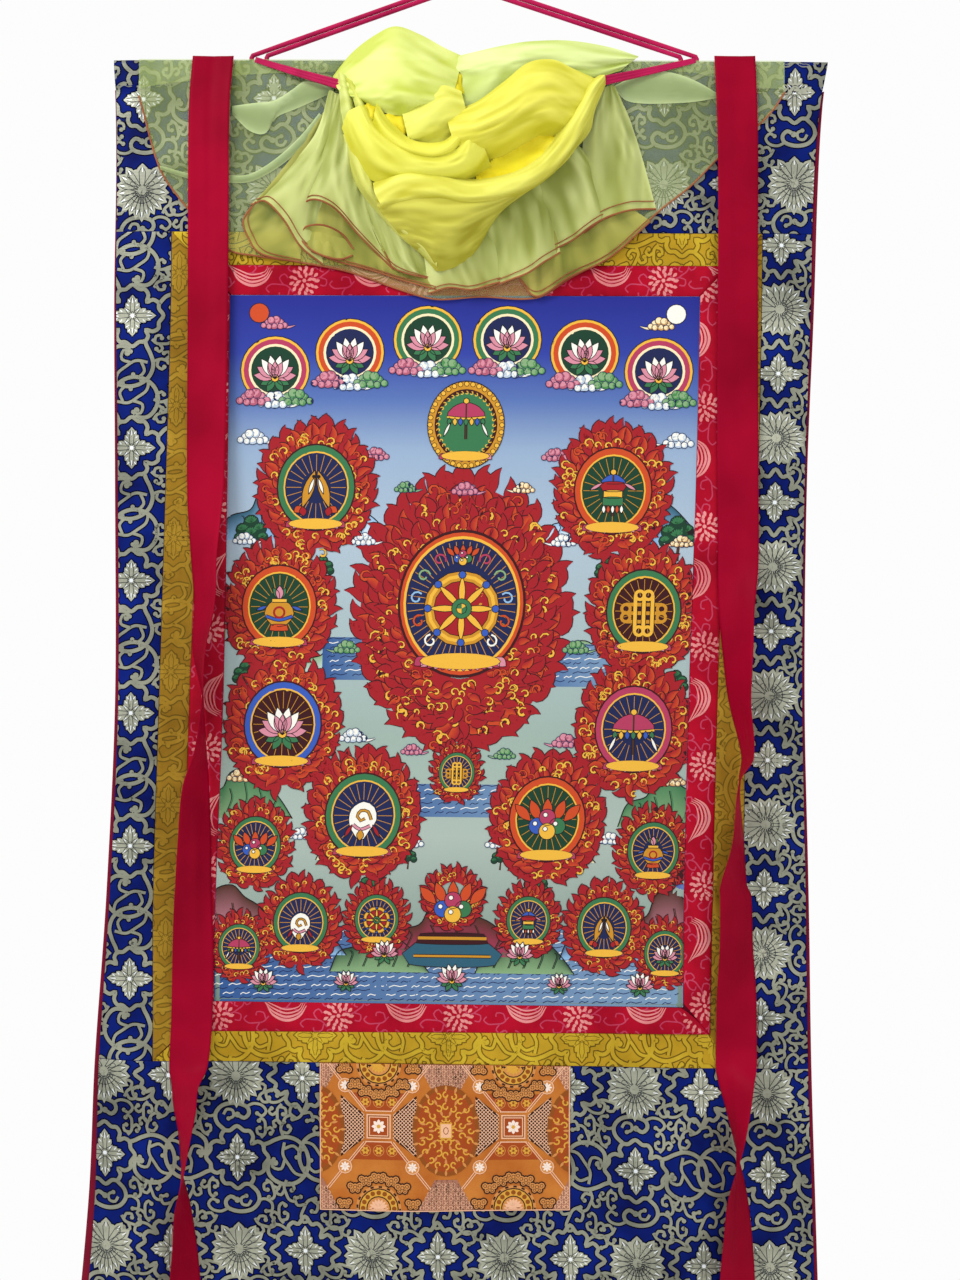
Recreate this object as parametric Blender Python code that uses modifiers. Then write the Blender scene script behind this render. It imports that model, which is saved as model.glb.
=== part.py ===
# Thangka scroll painting, hung: a printed painting in a brocade mount, with a gathered veil in front,
# two satin ribbons, a hanging cord and the veil's ties.
# Metres, +Z up, and the front faces -Y. The origin is the apex of the hanging cord, where it goes over its hook.
# Tables are in millimetres: "across" is along X, "drop" is how far below the apex, "forward" is towards -Y.
import math

import bmesh
import bpy
from mathutils import Vector

MM = 0.001

# Thickness of each cloth
BROCADE_THICK = 1.4
HEM_SLACK = 0.01
STRIP_THICK = 1.2
PAINTING_THICK = 1.2
LINING_THICK = 1.0
DOOR_THICK = 1.0
RIBBON_THICK = 1.0
VEIL_THICK = 1.2
TIE_THICK = 1.2
TIE_RISE = 1.6               # how late a tie rises towards the bunch

SEAM_GAP = 0.3          # between pieces sewn edge to edge
LINING_BEHIND = 1.9     # from the middle of the panels to the middle of the lining
DOOR_AHEAD = 1.6        # from the middle of the skirt to the middle of the patch on it

RIBBON_WIDTH = 50.0
CORD_THICK = 6.0
CORD_APART = 6.3        # between the middles of the cord's two strands
APEX_ROUND = 9.0        # how far from the apex the cord starts to bend

# The long seams: where each runs across, by how far down it is
SEAMS = (
    ("drop", "left", "left_gold", "left_red", "left_art", "right_art", "right_red", "right_gold", "right"),
    (96, -431, -359, -320, -285, 289, 325, 365, 446),
    (150, -428, -359, -320, -285, 289, 325, 365, 438),
    (245, -427, -358, -320, -286, 288, 323, 364, 432),
    (392, -429, -359, -320, -287, 287, 322, 362, 427),
    (611, -428, -365, -326, -290, 282, 317, 357, 418),
    (880, -428, -373, -336, -295, 273, 308, 343, 415),
    (1124, -439, -380, -343, -304, 267, 302, 339, 420),
    (1322, -453, -380, -345, -307, 266, 298, 334, 423),
    (1490, -461, -382, -345, -307, 266, 298, 333, 428),
    (1752, -486, -388, -348, -308, 266, 299, 334, 436),
)

# How far the lining shows past the brocade, and how far the outer edges curl back towards the wall
EDGES = (
    ("drop", "left_lip", "right_lip", "left_curl", "right_curl"),
    (96, 1, 1, 2, 2),
    (250, 1, 5, 4, 5),
    (500, 3, 3, 7, 6),
    (900, 4, 3, 8, 6),
    (1300, 5, 4, 9, 6),
    (1560, 9, 4, 12, 7),
    (1752, 10, 5, 8, 6),
)
CURL_REACH = 48.0

# The seams that cross the cloth. Each drops a little more at the right, because the scroll hangs slightly askew
ROWS = {
    "top": (96.4, 98.8),
    "hem": (133.0, 134.8),
    "gold_top": (307.4, 310.5),
    "red_top": (348.3, 350.1),
    "art_top": (384.9, 387.4),
    "art_end": (1244.4, 1256.6),
    "red_end": (1282.2, 1287.7),
    "gold_end": (1317.6, 1329.8),
    "door_end": (1500.6, 1503.7),
    "low_hem": (1719.0, 1724.0),
    "end": (1748.0, 1753.0),
}
ROW_LEFT = -445.0
ROW_RIGHT = 409.0

# Cells of the grid between one long seam and the next, and from one crossing seam to the next
COLUMN_CELLS = (
    ("left", "left_brocade", 1),
    ("left_brocade", "left_gold", 3),
    ("left_gold", "left_red", 1),
    ("left_red", "left_art", 2),
    ("left_art", "left_door", 2),
    ("left_door", "right_door", 3),
    ("right_door", "right_art", 2),
    ("right_art", "right_red", 2),
    ("right_red", "right_gold", 1),
    ("right_gold", "right_brocade", 3),
    ("right_brocade", "right", 1),
)
ROW_CELLS = (
    ("top", "hem", 4),
    ("hem", "gold_top", 4),
    ("gold_top", "red_top", 1),
    ("red_top", "art_top", 2),
    ("art_top", "art_end", 11),
    ("art_end", "red_end", 2),
    ("red_end", "gold_end", 1),
    ("gold_end", "door_end", 3),
    ("door_end", "low_hem", 3),
    ("low_hem", "end", 3),
)
DOOR_FROM = 0.2266      # the patch's sides, as shares of the way across the painting
DOOR_TO = 0.7596

# The rolled hems: how thick the cloth is at each crossing line of them
TOP_HEM = (("share", "thick"), (0.0, 3.0), (0.14, 8.0), (0.45, 9.2), (0.86, 7.0), (1.0, BROCADE_THICK))
LOW_HEM = (("share", "thick"), (0.0, BROCADE_THICK), (0.12, 4.0), (0.6, 6.0), (1.0, 3.0))

# How far the cloth hangs from the wall, and its soft upright folds. A negative height is a hollow
STAND_OFF = (("drop", "forward"), (96, 9), (160, 12), (330, 17), (800, 19), (1300, 21), (1752, 19))
FOLDS = (
    ("top_across", "end_across", "from_drop", "to_drop", "half_width", "height"),
    (-396, -408, 380, 1400, 26, 3.5),
    (392, 378, 300, 1340, 24, 4.0),
    (232, 214, 640, 1300, 60, -3.0),
    (-225, -240, 760, 1290, 75, 3.0),
    (0, -20, 420, 1180, 130, 2.5),
    (-352, -385, 1230, 1800, 50, 8.0),
    (-205, -225, 1290, 1800, 75, -5.0),
    (-60, -75, 1310, 1800, 70, 5.0),
    (110, 118, 1310, 1800, 75, -5.0),
    (262, 268, 1260, 1800, 60, 8.0),
    (-330, -300, 90, 360, 60, 3.0),
    (130, 150, 120, 330, 90, -2.0),
    (330, 345, 110, 360, 55, 3.0),
)
FOLD_FADE = 130.0       # a fold swells and dies away over this much of its length

STRIP_PUFF = 1.6        # the crimson strips are softly crowned
CORNER_LIFT = 6.0       # and the lower right corner is lifted and puffed
CORNER_REACH = 150.0

# The ribbons: where the middle runs, how far it has turned, and how far forward it hangs at least
LEFT_RIBBON = (
    ("drop", "across", "turn", "forward"),
    (94, -307, 0, 11),
    (150, -311, 4, 11),
    (270, -312, 2, 9),
    (416, -313, 8, 6),
    (611, -315, 20, 5),
    (700, -316, 44, 5),
    (764, -315, 54, 5),
    (819, -321, 66, 5),
    (877, -317, 84, 5),
    (940, -319, 100, 5),
    (983, -325, 122, 5),
    (1050, -327, 136, 5),
    (1117, -329, 146, 5),
    (1185, -330, 164, 5),
    (1262, -332, 178, 5),
    (1322, -335, 196, 5),
    (1343, -338, 222, 5),
    (1370, -338, 230, 5),
    (1404, -338, 246, 5),
    (1451, -340, 262, 5),
    (1490, -340, 284, 5),
    (1538, -338, 298, 5),
    (1587, -338, 312, 5),
    (1650, -338, 330, 6),
    (1722, -337, 345, 7),
)
RIGHT_RIBBON = (
    ("drop", "across", "turn", "forward"),
    (94, 329, 0, 11),
    (150, 331, -3, 11),
    (210, 332, -6, 9),
    (312, 332, -10, 8),
    (416, 332, -6, 6),
    (600, 332, 8, 5),
    (708, 332, 16, 5),
    (770, 329, 36, 5),
    (817, 330, 48, 5),
    (880, 332, 64, 5),
    (948, 341, 80, 5),
    (977, 331, 96, 5),
    (1050, 330, 112, 5),
    (1104, 325, 136, 5),
    (1117, 328, 144, 5),
    (1184, 329, 150, 5),
    (1246, 330, 170, 5),
    (1315, 330, 184, 5),
    (1340, 328, 214, 5),
    (1368, 329, 236, 5),
    (1416, 330, 264, 5),
    (1477, 329, 302, 5),
    (1526, 330, 318, 5),
    (1587, 330, 334, 6),
    (1722, 331, 350, 7),
)
RIBBON_STEPS = 62
RIBBON_CREASE = 1.8     # the ribbons are a little hollow along their middle

# The veil's flat part: how far down its edge comes, across the width
BIB_EDGE = (
    ("across", "drop"),
    (-398, 142),
    (-393, 160),
    (-384, 195),
    (-372, 232),
    (-352, 263),
    (-320, 300),
    (-287, 331),
    (-262, 337),
    (-200, 346),
    (-140, 358),
    (-80, 379),
    (-36, 391),
    (18, 388),
    (88, 389),
    (128, 365),
    (165, 345),
    (203, 315),
    (236, 284),
    (276, 252),
    (311, 217),
    (357, 179),
    (378, 157),
    (390, 138),
)
BIB_ROWS = (("share", "least"), (0.0, 0.0), (0.1, 8.0), (0.24, 22.0), (0.5, 0.0), (0.78, 0.0), (1.0, 0.0))
BIB_AHEAD = 3.8         # in front of the cloth behind it
HEM_REACH = 45.0             # how far below the rolled hem the veil comes to rest on the brocade
BIB_LEAST_SHARE = 0.45
BIB_WAVE = 0.6
BIB_WAVE_DOWN = 9.0
BIB_WAVE_ACROSS = 0.045

# The flounces below the gathered part: the hem, and the line inside the bunch that it falls from
FLOUNCE = (
    ("across", "drop", "root_across", "root_drop", "forward"),
    (-268, 278, -160, 128, 13),
    (-256, 304, -156, 138, 22),
    (-240, 328, -150, 148, 15),
    (-222, 300, -146, 158, 26),
    (-204, 316, -140, 168, 18),
    (-186, 300, -132, 176, 30),
    (-166, 326, -122, 186, 20),
    (-146, 322, -110, 194, 32),
    (-122, 346, -98, 204, 22),
    (-100, 356, -82, 214, 34),
    (-70, 360, -62, 222, 24),
    (-34, 368, -40, 226, 36),
    (-6, 358, -14, 226, 24),
    (20, 368, 12, 222, 36),
    (46, 348, 36, 214, 24),
    (74, 342, 60, 204, 35),
    (98, 330, 84, 192, 22),
    (124, 320, 104, 180, 33),
    (150, 302, 122, 166, 20),
    (178, 296, 138, 152, 30),
    (204, 284, 150, 140, 18),
    (232, 282, 158, 128, 26),
)
FLOUNCE_SUBSTEPS = 3
FLOUNCE_ROWS = 4
FLOUNCE_AHEAD = 3.0
FLOUNCE_OUT = 8.0
ROOT_STAND = 0.35
ROOT_AHEAD = 14.0

# The gathered bunch: its outline, and its folds as soft ridges (a negative height is a hollow)
BUNCH_MIDDLE = (-18.0, 196.0)
BUNCH_OUTLINE = (
    ("across", "drop"),
    (-163, 117),
    (-146, 99),
    (-115, 70),
    (-87, 56),
    (-62, 66),
    (-30, 82),
    (-4, 92),
    (43, 80),
    (92, 77),
    (140, 84),
    (168, 98),
    (168, 124),
    (157, 155),
    (128, 213),
    (80, 259),
    (49, 276),
    (29, 302),
    (11, 326),
    (-33, 359),
    (-48, 351),
    (-94, 302),
    (-129, 267),
    (-152, 214),
    (-160, 160),
)
BUNCH_RIM = 1.0         # the bunch's rim stands this far in front of the bib's middle
BUNCH_BEHIND = 1.4      # and its back this far behind it, so that the bib runs into the bunch
BUNCH_HEIGHT = 58.0
BUNCH_ROUND = 0.62
BUNCH_ANGLES = 60
BUNCH_RINGS = 15
BUNCH_SPREAD = 0.85          # rings lie closer together near the outline
BUNCH_EDGE = 0.12            # the share of the radius over which folds run out
FOLD_STEPS = 12
FOLD_RUN_OUT = 0.2
FOLD_END = 0.3
BUNCH_BACK_EVERY = 5    # the back has only every fifth ring
BUNCH_FOLDS = (
    ("a_across", "a_drop", "b_across", "b_drop", "c_across", "c_drop", "half_width", "height"),
    (-150, 118, -105, 58, 10, 104, 17, 12),
    (-152, 136, -106, 150, -64, 172, 8, -12),
    (-150, 160, -112, 250, -10, 240, 13, 12),
    (-106, 178, -80, 214, 0, 196, 9, 10),
    (-104, 150, -56, 118, -8, 168, 10, 9),
    (-78, 172, -66, 190, -40, 200, 13, -16),
    (-6, 164, 40, 86, 128, 106, 17, 15),
    (10, 196, 50, 250, 92, 204, 24, -30),
    (-104, 244, 20, 268, 100, 178, 8, 12),
    (-144, 196, -110, 270, -36, 330, 10, 8),
    (-112, 258, -60, 280, -28, 348, 12, -9),
    (60, 250, 20, 280, -18, 330, 11, 9),
    (120, 152, 134, 158, 146, 142, 11, -18),
    (118, 124, 150, 118, 158, 150, 7, 7),
)

# The ties: where each leaves the top edge and where it reaches the bunch
TIES = (
    ("side", "top_across", "top_drop", "top_forward", "end_across", "end_drop", "end_forward"),
    ("left", -256, 98, 18.6, -168, 127, 36),
    ("right", 281, 99, 18.6, 175, 125, 36),
)
TIE_TOP_WIDTH = 4.5
TIE_END_WIDTH = 11.0
TIE_STEPS = 7

# The hanging cord: where its strands are sewn to the top edge (across, forward), and how they turn down to it
CORD_LEFT = (-267.0, 9.0)
CORD_RIGHT = (290.0, 9.0)
CORD_APEX_FORWARD = 3.3
CORD_TURN = 6.0
CORD_END_GAP = 0.5
CORD_END_STEP = 1.5
APEX_FLAT = 0.16
CORD_SHARES = (0.0, 0.12, 0.25, 0.4, 0.55, 0.7, 0.85, 1.0)

MATERIALS = {
    "blue_brocade": ((0.010, 0.022, 0.33), 0.42, 0.15),
    "gold_brocade": ((0.58, 0.40, 0.035), 0.40, 0.35),
    "red_brocade": ((0.60, 0.012, 0.035), 0.45, 0.05),
    "painted_cloth": ((0.28, 0.30, 0.38), 0.70, 0.0),
    "orange_brocade": ((0.66, 0.22, 0.055), 0.42, 0.2),
    "red_lining": ((0.36, 0.008, 0.03), 0.75, 0.0),
    "red_satin": ((0.46, 0.006, 0.030), 0.35, 0.0),
    "yellow_organza": ((0.84, 0.80, 0.06), 0.50, 0.0),
    "magenta_cord": ((0.38, 0.008, 0.06), 0.40, 0.0),
}


def column(table, name):
    return table[0].index(name)


def smooth(table, name, at):
    """One named column of a table, read on a smooth curve through its rows. The first column is the way along."""
    rows = table[1:]
    col = column(table, name)
    last = len(rows) - 1
    low = 0
    while low < last - 1 and at > rows[low + 1][0]:
        low += 1
    high = low + 1
    span = rows[high][0] - rows[low][0]
    t = min(max((at - rows[low][0]) / span, 0.0), 1.0)

    def slope(index):
        before, after = max(index - 1, 0), min(index + 1, last)
        return (rows[after][col] - rows[before][col]) / (rows[after][0] - rows[before][0]) * span

    t2, t3 = t * t, t * t * t
    ends = (2 * t3 - 3 * t2 + 1) * rows[low][col] + (3 * t2 - 2 * t3) * rows[high][col]
    return ends + (t3 - 2 * t2 + t) * slope(low) + (t3 - t2) * slope(high)


def straight(table, name, at):
    """The same on straight lines, for short steep tables."""
    rows = table[1:]
    col = column(table, name)
    for low, high in zip(rows, rows[1:]):
        if at <= high[0]:
            t = max((at - low[0]) / (high[0] - low[0]), 0.0)
            return low[col] + (high[col] - low[col]) * t
    return rows[-1][col]


def ease(t):
    t = min(max(t, 0.0), 1.0)
    return t * t * (3 - 2 * t)


def seam_across(name, drop):
    """Where a long seam runs, at this drop."""
    if name == "left_brocade":
        return smooth(SEAMS, "left", drop) + smooth(EDGES, "left_lip", drop)
    if name == "right_brocade":
        return smooth(SEAMS, "right", drop) - smooth(EDGES, "right_lip", drop)
    if name in ("left_door", "right_door"):
        left, right = smooth(SEAMS, "left_art", drop), smooth(SEAMS, "right_art", drop)
        return left + (right - left) * (DOOR_FROM if name == "left_door" else DOOR_TO)
    return smooth(SEAMS, name, drop)


def row_drop(name, across):
    left, right = ROWS[name]
    return left + (right - left) * (across - ROW_LEFT) / (ROW_RIGHT - ROW_LEFT)


def forward(across, drop):
    """How far the middle of the mount's cloth stands from the wall."""
    depth = smooth(STAND_OFF, "forward", drop)
    for top_across, end_across, start, end, half_width, height in FOLDS[1:]:
        share = min(max((drop - start) / (end - start), 0.0), 1.0)
        middle = top_across + (end_across - top_across) * share
        window = ease((drop - start) / FOLD_FADE) * ease((end - drop) / FOLD_FADE)
        depth += height * window * math.exp(-(((across - middle) / half_width) ** 2))
    for side, sign in (("left", 1), ("right", -1)):
        inside = (across - smooth(SEAMS, side, drop)) * sign
        near = 1 - min(max(inside, 0.0), CURL_REACH) / CURL_REACH
        depth -= smooth(EDGES, side + "_curl", drop) * near * near
    return depth


def hem_thick(drop, across):
    """The thickness of the brocade at this drop, with its rolled hems."""
    for table, top, low in ((TOP_HEM, "top", "hem"), (LOW_HEM, "low_hem", "end")):
        start, end = row_drop(top, across), row_drop(low, across)
        if start - HEM_SLACK <= drop <= end + HEM_SLACK:
            return straight(table, "thick", (drop - start) / (end - start))
    return BROCADE_THICK


def at(across, drop, depth):
    return Vector((across, -depth, -drop)) * MM


class Grid:
    """The one grid that every flat piece of the mount is cut from, so that neighbours meet along the same lines."""

    def __init__(self):
        self.columns = [("left", "left", 0.0)]
        self.column_of = {"left": 0}
        for start, end, cells in COLUMN_CELLS:
            self.columns += [(start, end, (k + 1) / cells) for k in range(cells)]
            self.column_of[end] = len(self.columns) - 1
        self.rows = [("top", "top", 0.0)]
        self.row_of = {"top": 0}
        for start, end, cells in ROW_CELLS:
            hem = {"hem": TOP_HEM, "end": LOW_HEM}.get(end)
            shares = [row[0] for row in hem[2:]] if hem else [(k + 1) / cells for k in range(cells)]
            self.rows += [(start, end, share) for share in shares]
            self.row_of[end] = len(self.rows) - 1

    def place(self, i, j):
        """(across, drop) of a grid point. Three passes settle the seams, which depend a little on each other."""
        left, right, share = self.columns[i]
        top, low, part = self.rows[j]
        across = 0.0
        for _ in range(3):
            drop = row_drop(top, across) + (row_drop(low, across) - row_drop(top, across)) * part
            start, end = seam_across(left, drop), seam_across(right, drop)
            across = start + (end - start) * share
        return across, drop

    def triangles(self, columns, rows):
        """Triangles of a block of cells. Diagonals lean so that mitres run towards the painting."""
        half_i = len(self.columns) / 2
        half_j = (self.row_of["art_top"] + self.row_of["art_end"]) / 2
        for i in range(*columns):
            for j in range(*rows):
                a, b, c, d = (i, j), (i + 1, j), (i + 1, j + 1), (i, j + 1)
                if (i + 0.5 < half_i) == (j + 0.5 < half_j):
                    yield a, d, c
                    yield a, c, b
                else:
                    yield a, d, b
                    yield b, d, c

    def block(self, left, right, top, low):
        columns = (self.column_of[left], self.column_of[right])
        return list(self.triangles(columns, (self.row_of[top], self.row_of[low])))

    def ring_side(self, side, outer, inner):
        """The triangles of one mitred side of a frame, between an outer and an inner rectangle of seams."""
        left, right, top, low = (self.column_of[n] if k < 2 else self.row_of[n] for k, n in enumerate(outer))
        in_left, in_right = self.column_of[inner[0]], self.column_of[inner[1]]
        in_top, in_low = self.row_of[inner[2]], self.row_of[inner[3]]
        kept = []
        for triangle in self.triangles((left, right), (top, low)):
            i = sum(point[0] for point in triangle) / 3
            j = sum(point[1] for point in triangle) / 3
            if in_left < i < in_right and in_top < j < in_low:
                continue
            near = {"left": i - left, "right": right - i, "top": j - top, "bottom": low - j}
            if min(near, key=near.get) == side:
                kept.append(triangle)
        return kept


def new_material(name):
    colour, roughness, metallic = MATERIALS[name]
    material = bpy.data.materials.new(name)
    material.use_nodes = True
    shader = material.node_tree.nodes["Principled BSDF"]
    shader.inputs["Base Color"].default_value = (*colour, 1.0)
    shader.inputs["Roughness"].default_value = roughness
    shader.inputs["Metallic"].default_value = metallic
    return material


def new_object(name, mesh, material, collection):
    obj = bpy.data.objects.new(name, mesh)
    mesh.materials.append(material)
    collection.objects.link(obj)
    return obj


def inward_shift(vertex):
    """Half the seam gap towards the inside of a patch, in the (across, drop) plane, at a vertex on its edge."""
    normals = []
    for edge in vertex.link_edges:
        if not edge.is_boundary:
            continue
        along = edge.other_vert(vertex).co - vertex.co
        normal = Vector((-along.z, 0, along.x)).normalized()
        inside = edge.link_faces[0].calc_center_median() - vertex.co
        normals.append(normal if normal.dot(inside) > 0 else -normal)
    total = normals[0] + normals[1]
    return total / (1 + normals[0].dot(normals[1])) * SEAM_GAP / 2 * MM


def solidify(obj, thick, group=None):
    modifier = obj.modifiers.new("thickness", "SOLIDIFY")
    modifier.thickness = thick * MM
    modifier.offset = 0.0
    if group:
        modifier.vertex_group = group.name
        modifier.thickness_vertex_group = 0.0


def cut_piece(name, grid, triangles, material, collection, thick, behind=0.0, raised=None):
    """A piece of the mount: grid triangles, drawn in by half a seam gap all round, and given its thickness."""
    mesh = bmesh.new()
    verts = {}
    places = {}
    for key in sorted({point for triangle in triangles for point in triangle}):
        across, drop = grid.place(*key)
        verts[key] = mesh.verts.new((across * MM, 0, -drop * MM))
        places[key] = (across, drop)
    for triangle in triangles:
        mesh.faces.new([verts[key] for key in triangle])
    shifts = {key: inward_shift(v) for key, v in verts.items() if v.is_boundary}
    for key, shift in shifts.items():
        verts[key].co += shift
    for key, vertex in verts.items():
        lift = raised(key, *places[key]) if raised else 0.0
        vertex.co.y = -(forward(*places[key]) - behind + lift) * MM
    data = bpy.data.meshes.new(name)
    mesh.verts.index_update()
    order = {key: vertex.index for key, vertex in verts.items()}
    mesh.to_mesh(data)
    mesh.free()
    obj = new_object(name, data, material, collection)
    if name in ("brocade_top", "brocade_bottom"):
        group = obj.vertex_groups.new(name="hem")
        thickest = max(hem_thick(drop, across) for across, drop in places.values())
        for key, (across, drop) in places.items():
            group.add([order[key]], hem_thick(drop, across) / thickest, "REPLACE")
        solidify(obj, thickest, group)
    else:
        solidify(obj, thick)
    return obj


def puff(grid, side):
    """How far a point of a crimson strip stands up: a soft crown, and the lifted lower right corner."""
    middles = {
        "left": lambda i, j: i == grid.column_of["left_red"] + 1,
        "right": lambda i, j: i == grid.column_of["right_art"] + 1,
        "top": lambda i, j: j == grid.row_of["red_top"] + 1,
        "bottom": lambda i, j: j == grid.row_of["art_end"] + 1,
    }

    def raised(key, across, drop):
        crown = STRIP_PUFF if middles[side](*key) else 0.0
        away = math.hypot(across - seam_across("right_red", drop), drop - row_drop("red_end", across))
        lift = CORNER_LIFT * ease(1 - away / CORNER_REACH)
        return crown + lift

    return raised


def mount_pieces(grid, materials, collection):
    gold_outer = ("left_gold", "right_gold", "gold_top", "gold_end")
    red_outer = ("left_red", "right_red", "red_top", "red_end")
    art = ("left_art", "right_art", "art_top", "art_end")
    brocades = {
        "brocade_top": ("left_brocade", "right_brocade", "top", "gold_top"),
        "brocade_left": ("left_brocade", "left_gold", "gold_top", "gold_end"),
        "brocade_right": ("right_gold", "right_brocade", "gold_top", "gold_end"),
        "brocade_bottom": ("left_brocade", "right_brocade", "gold_end", "end"),
    }
    for name, edges in brocades.items():
        cut_piece(name, grid, grid.block(*edges), materials["blue_brocade"], collection, BROCADE_THICK)
    for side in ("top", "bottom", "left", "right"):
        gold = grid.ring_side(side, gold_outer, red_outer)
        cut_piece("gold_" + side, grid, gold, materials["gold_brocade"], collection, STRIP_THICK)
        red = grid.ring_side(side, red_outer, art)
        cut_piece("red_" + side, grid, red, materials["red_brocade"], collection, STRIP_THICK, raised=puff(grid, side))
    cut_piece("painting", grid, grid.block(*art), materials["painted_cloth"], collection, PAINTING_THICK)
    door = grid.block("left_door", "right_door", "gold_end", "door_end")
    cut_piece("door_patch", grid, door, materials["orange_brocade"], collection, DOOR_THICK, -DOOR_AHEAD)
    back = grid.block("left", "right", "hem", "low_hem")
    cut_piece("lining", grid, back, materials["red_lining"], collection, LINING_THICK, LINING_BEHIND)


def sheet_mesh(name, rows):
    """An open mesh from rows of points, all of the same length."""
    mesh = bmesh.new()
    verts = [[mesh.verts.new(point) for point in row] for row in rows]
    for upper, lower in zip(verts, verts[1:]):
        for k in range(len(upper) - 1):
            mesh.faces.new((upper[k], lower[k], lower[k + 1], upper[k + 1]))
    bmesh.ops.triangulate(mesh, faces=mesh.faces[:])
    data = bpy.data.meshes.new(name)
    mesh.to_mesh(data)
    mesh.free()
    return data


def ribbon(name, table, material, collection):
    """A flat ribbon that turns about its own length as it hangs, always clear of the cloth behind it."""
    first, last = table[1][0], table[-1][0]
    half = RIBBON_WIDTH / 2
    rows = []
    for step in range(RIBBON_STEPS + 1):
        drop = first + (last - first) * step / RIBBON_STEPS
        turn = math.radians(smooth(table, "turn", drop))
        across = smooth(table, "across", drop)
        depth = forward(across, drop) + smooth(table, "forward", drop) + half * abs(math.sin(turn))
        row = []
        for share, crease in ((-1, 0), (0, RIBBON_CREASE), (1, 0)):
            x = across + half * share * math.cos(turn) + crease * math.sin(turn)
            row.append(at(x, drop, depth + half * share * math.sin(turn) - crease * math.cos(turn)))
        rows.append(row)
    obj = new_object(name, sheet_mesh(name, rows), material, collection)
    solidify(obj, RIBBON_THICK)


def veil_clear(across, drop):
    """The depth of the veil's flat part: in front of the mount and of its rolled hem."""
    start, end = row_drop("top", across), row_drop("hem", across)
    if drop < start:
        over_hem = 1.0
    else:
        over_hem = 1 - ease((drop - end) / HEM_REACH)
    return forward(across, drop) + BIB_AHEAD + (TOP_HEM[3][1] - BROCADE_THICK) / 2 * over_hem


def bib_object(collection, material):
    """The flat, sheer part of the veil, which lies on the mount."""
    stations = [row[0] for row in BIB_EDGE[1:]]
    lines = []
    for across in stations:
        top = row_drop("top", across) + 0.5
        low = straight(BIB_EDGE, "drop", across)
        line = []
        for share, least in BIB_ROWS[1:]:
            drop = top + max((low - top) * share, min(least, (low - top) * BIB_LEAST_SHARE))
            lean = BIB_WAVE * math.sin(share * BIB_WAVE_DOWN + across * BIB_WAVE_ACROSS) * share
            line.append(at(across, drop, veil_clear(across, drop) + lean))
        lines.append(line)
    obj = new_object("bib", sheet_mesh("bib", lines), material, collection)
    solidify(obj, VEIL_THICK)
    return obj


def flounce_object(collection, material):
    """The pleated fall below the bunch."""
    table = FLOUNCE[1:]
    hem = []
    for low, high in zip(table, table[1:]):
        for k in range(FLOUNCE_SUBSTEPS):
            t = k / FLOUNCE_SUBSTEPS
            wave = ease(t)
            hem.append([a + (b - a) * (wave if c == 4 else t) for c, (a, b) in enumerate(zip(low, high))])
    hem.append(list(table[-1]))
    rows = []
    for k in range(FLOUNCE_ROWS + 1):
        share = k / FLOUNCE_ROWS
        row = []
        for across, drop, root_across, root_drop, out in hem:
            x = root_across + (across - root_across) * share
            z = root_drop + (drop - root_drop) * share
            stand = (out - FLOUNCE_OUT) * (ROOT_STAND + (1 - ROOT_STAND) * share)
            depth = veil_clear(x, z) + FLOUNCE_AHEAD + stand + ROOT_AHEAD * (1 - share)
            row.append(at(x, z, depth))
        rows.append(row)
    obj = new_object("flounce", sheet_mesh("flounce", rows), material, collection)
    solidify(obj, VEIL_THICK)
    return obj


def closed_curve(table, steps):
    """Points at even angles about the bunch's middle, on a smooth closed curve through the outline."""
    middle = BUNCH_MIDDLE
    polar = []
    for across, drop in table[1:]:
        angle = math.atan2(drop - middle[1], across - middle[0])
        polar.append((angle, math.hypot(across - middle[0], drop - middle[1])))
    polar.sort()
    wrapped = [(polar[-1][0] - 2 * math.pi, polar[-1][1])] + polar + [(polar[0][0] + 2 * math.pi, polar[0][1])]
    radii = (("angle", "radius"),) + tuple(wrapped)
    angles = [-math.pi + 2 * math.pi * k / steps for k in range(steps)]
    return [(angle, smooth(radii, "radius", angle)) for angle in angles]


def fold_height(across, drop):
    """The sum of the bunch's folds: each is a soft ridge along a bent line."""
    height = 0.0
    for ax, ad, bx, bd, cx, cd, half_width, high in BUNCH_FOLDS[1:]:
        nearest, where = None, 0.0
        for k in range(FOLD_STEPS + 1):
            t = k / FOLD_STEPS
            x = (1 - t) ** 2 * ax + 2 * t * (1 - t) * bx + t * t * cx
            z = (1 - t) ** 2 * ad + 2 * t * (1 - t) * bd + t * t * cd
            gap = math.hypot(across - x, drop - z)
            if nearest is None or gap < nearest:
                nearest, where = gap, t
        fade = FOLD_END + (1 - FOLD_END) * ease(where / FOLD_RUN_OUT) * ease((1 - where) / FOLD_RUN_OUT)
        height += high * fade * math.exp(-((nearest / half_width) ** 2))
    return height


def bunch_ring(mesh, outline, share, height):
    """One ring of points at a share of the way out to the bunch's outline, with a height in front of the bib."""
    verts = []
    for angle, radius in outline:
        x = BUNCH_MIDDLE[0] + radius * share * math.cos(angle)
        z = BUNCH_MIDDLE[1] + radius * share * math.sin(angle)
        verts.append(mesh.verts.new(at(x, z, veil_clear(x, z) + height(x, z))))
    return verts


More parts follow.
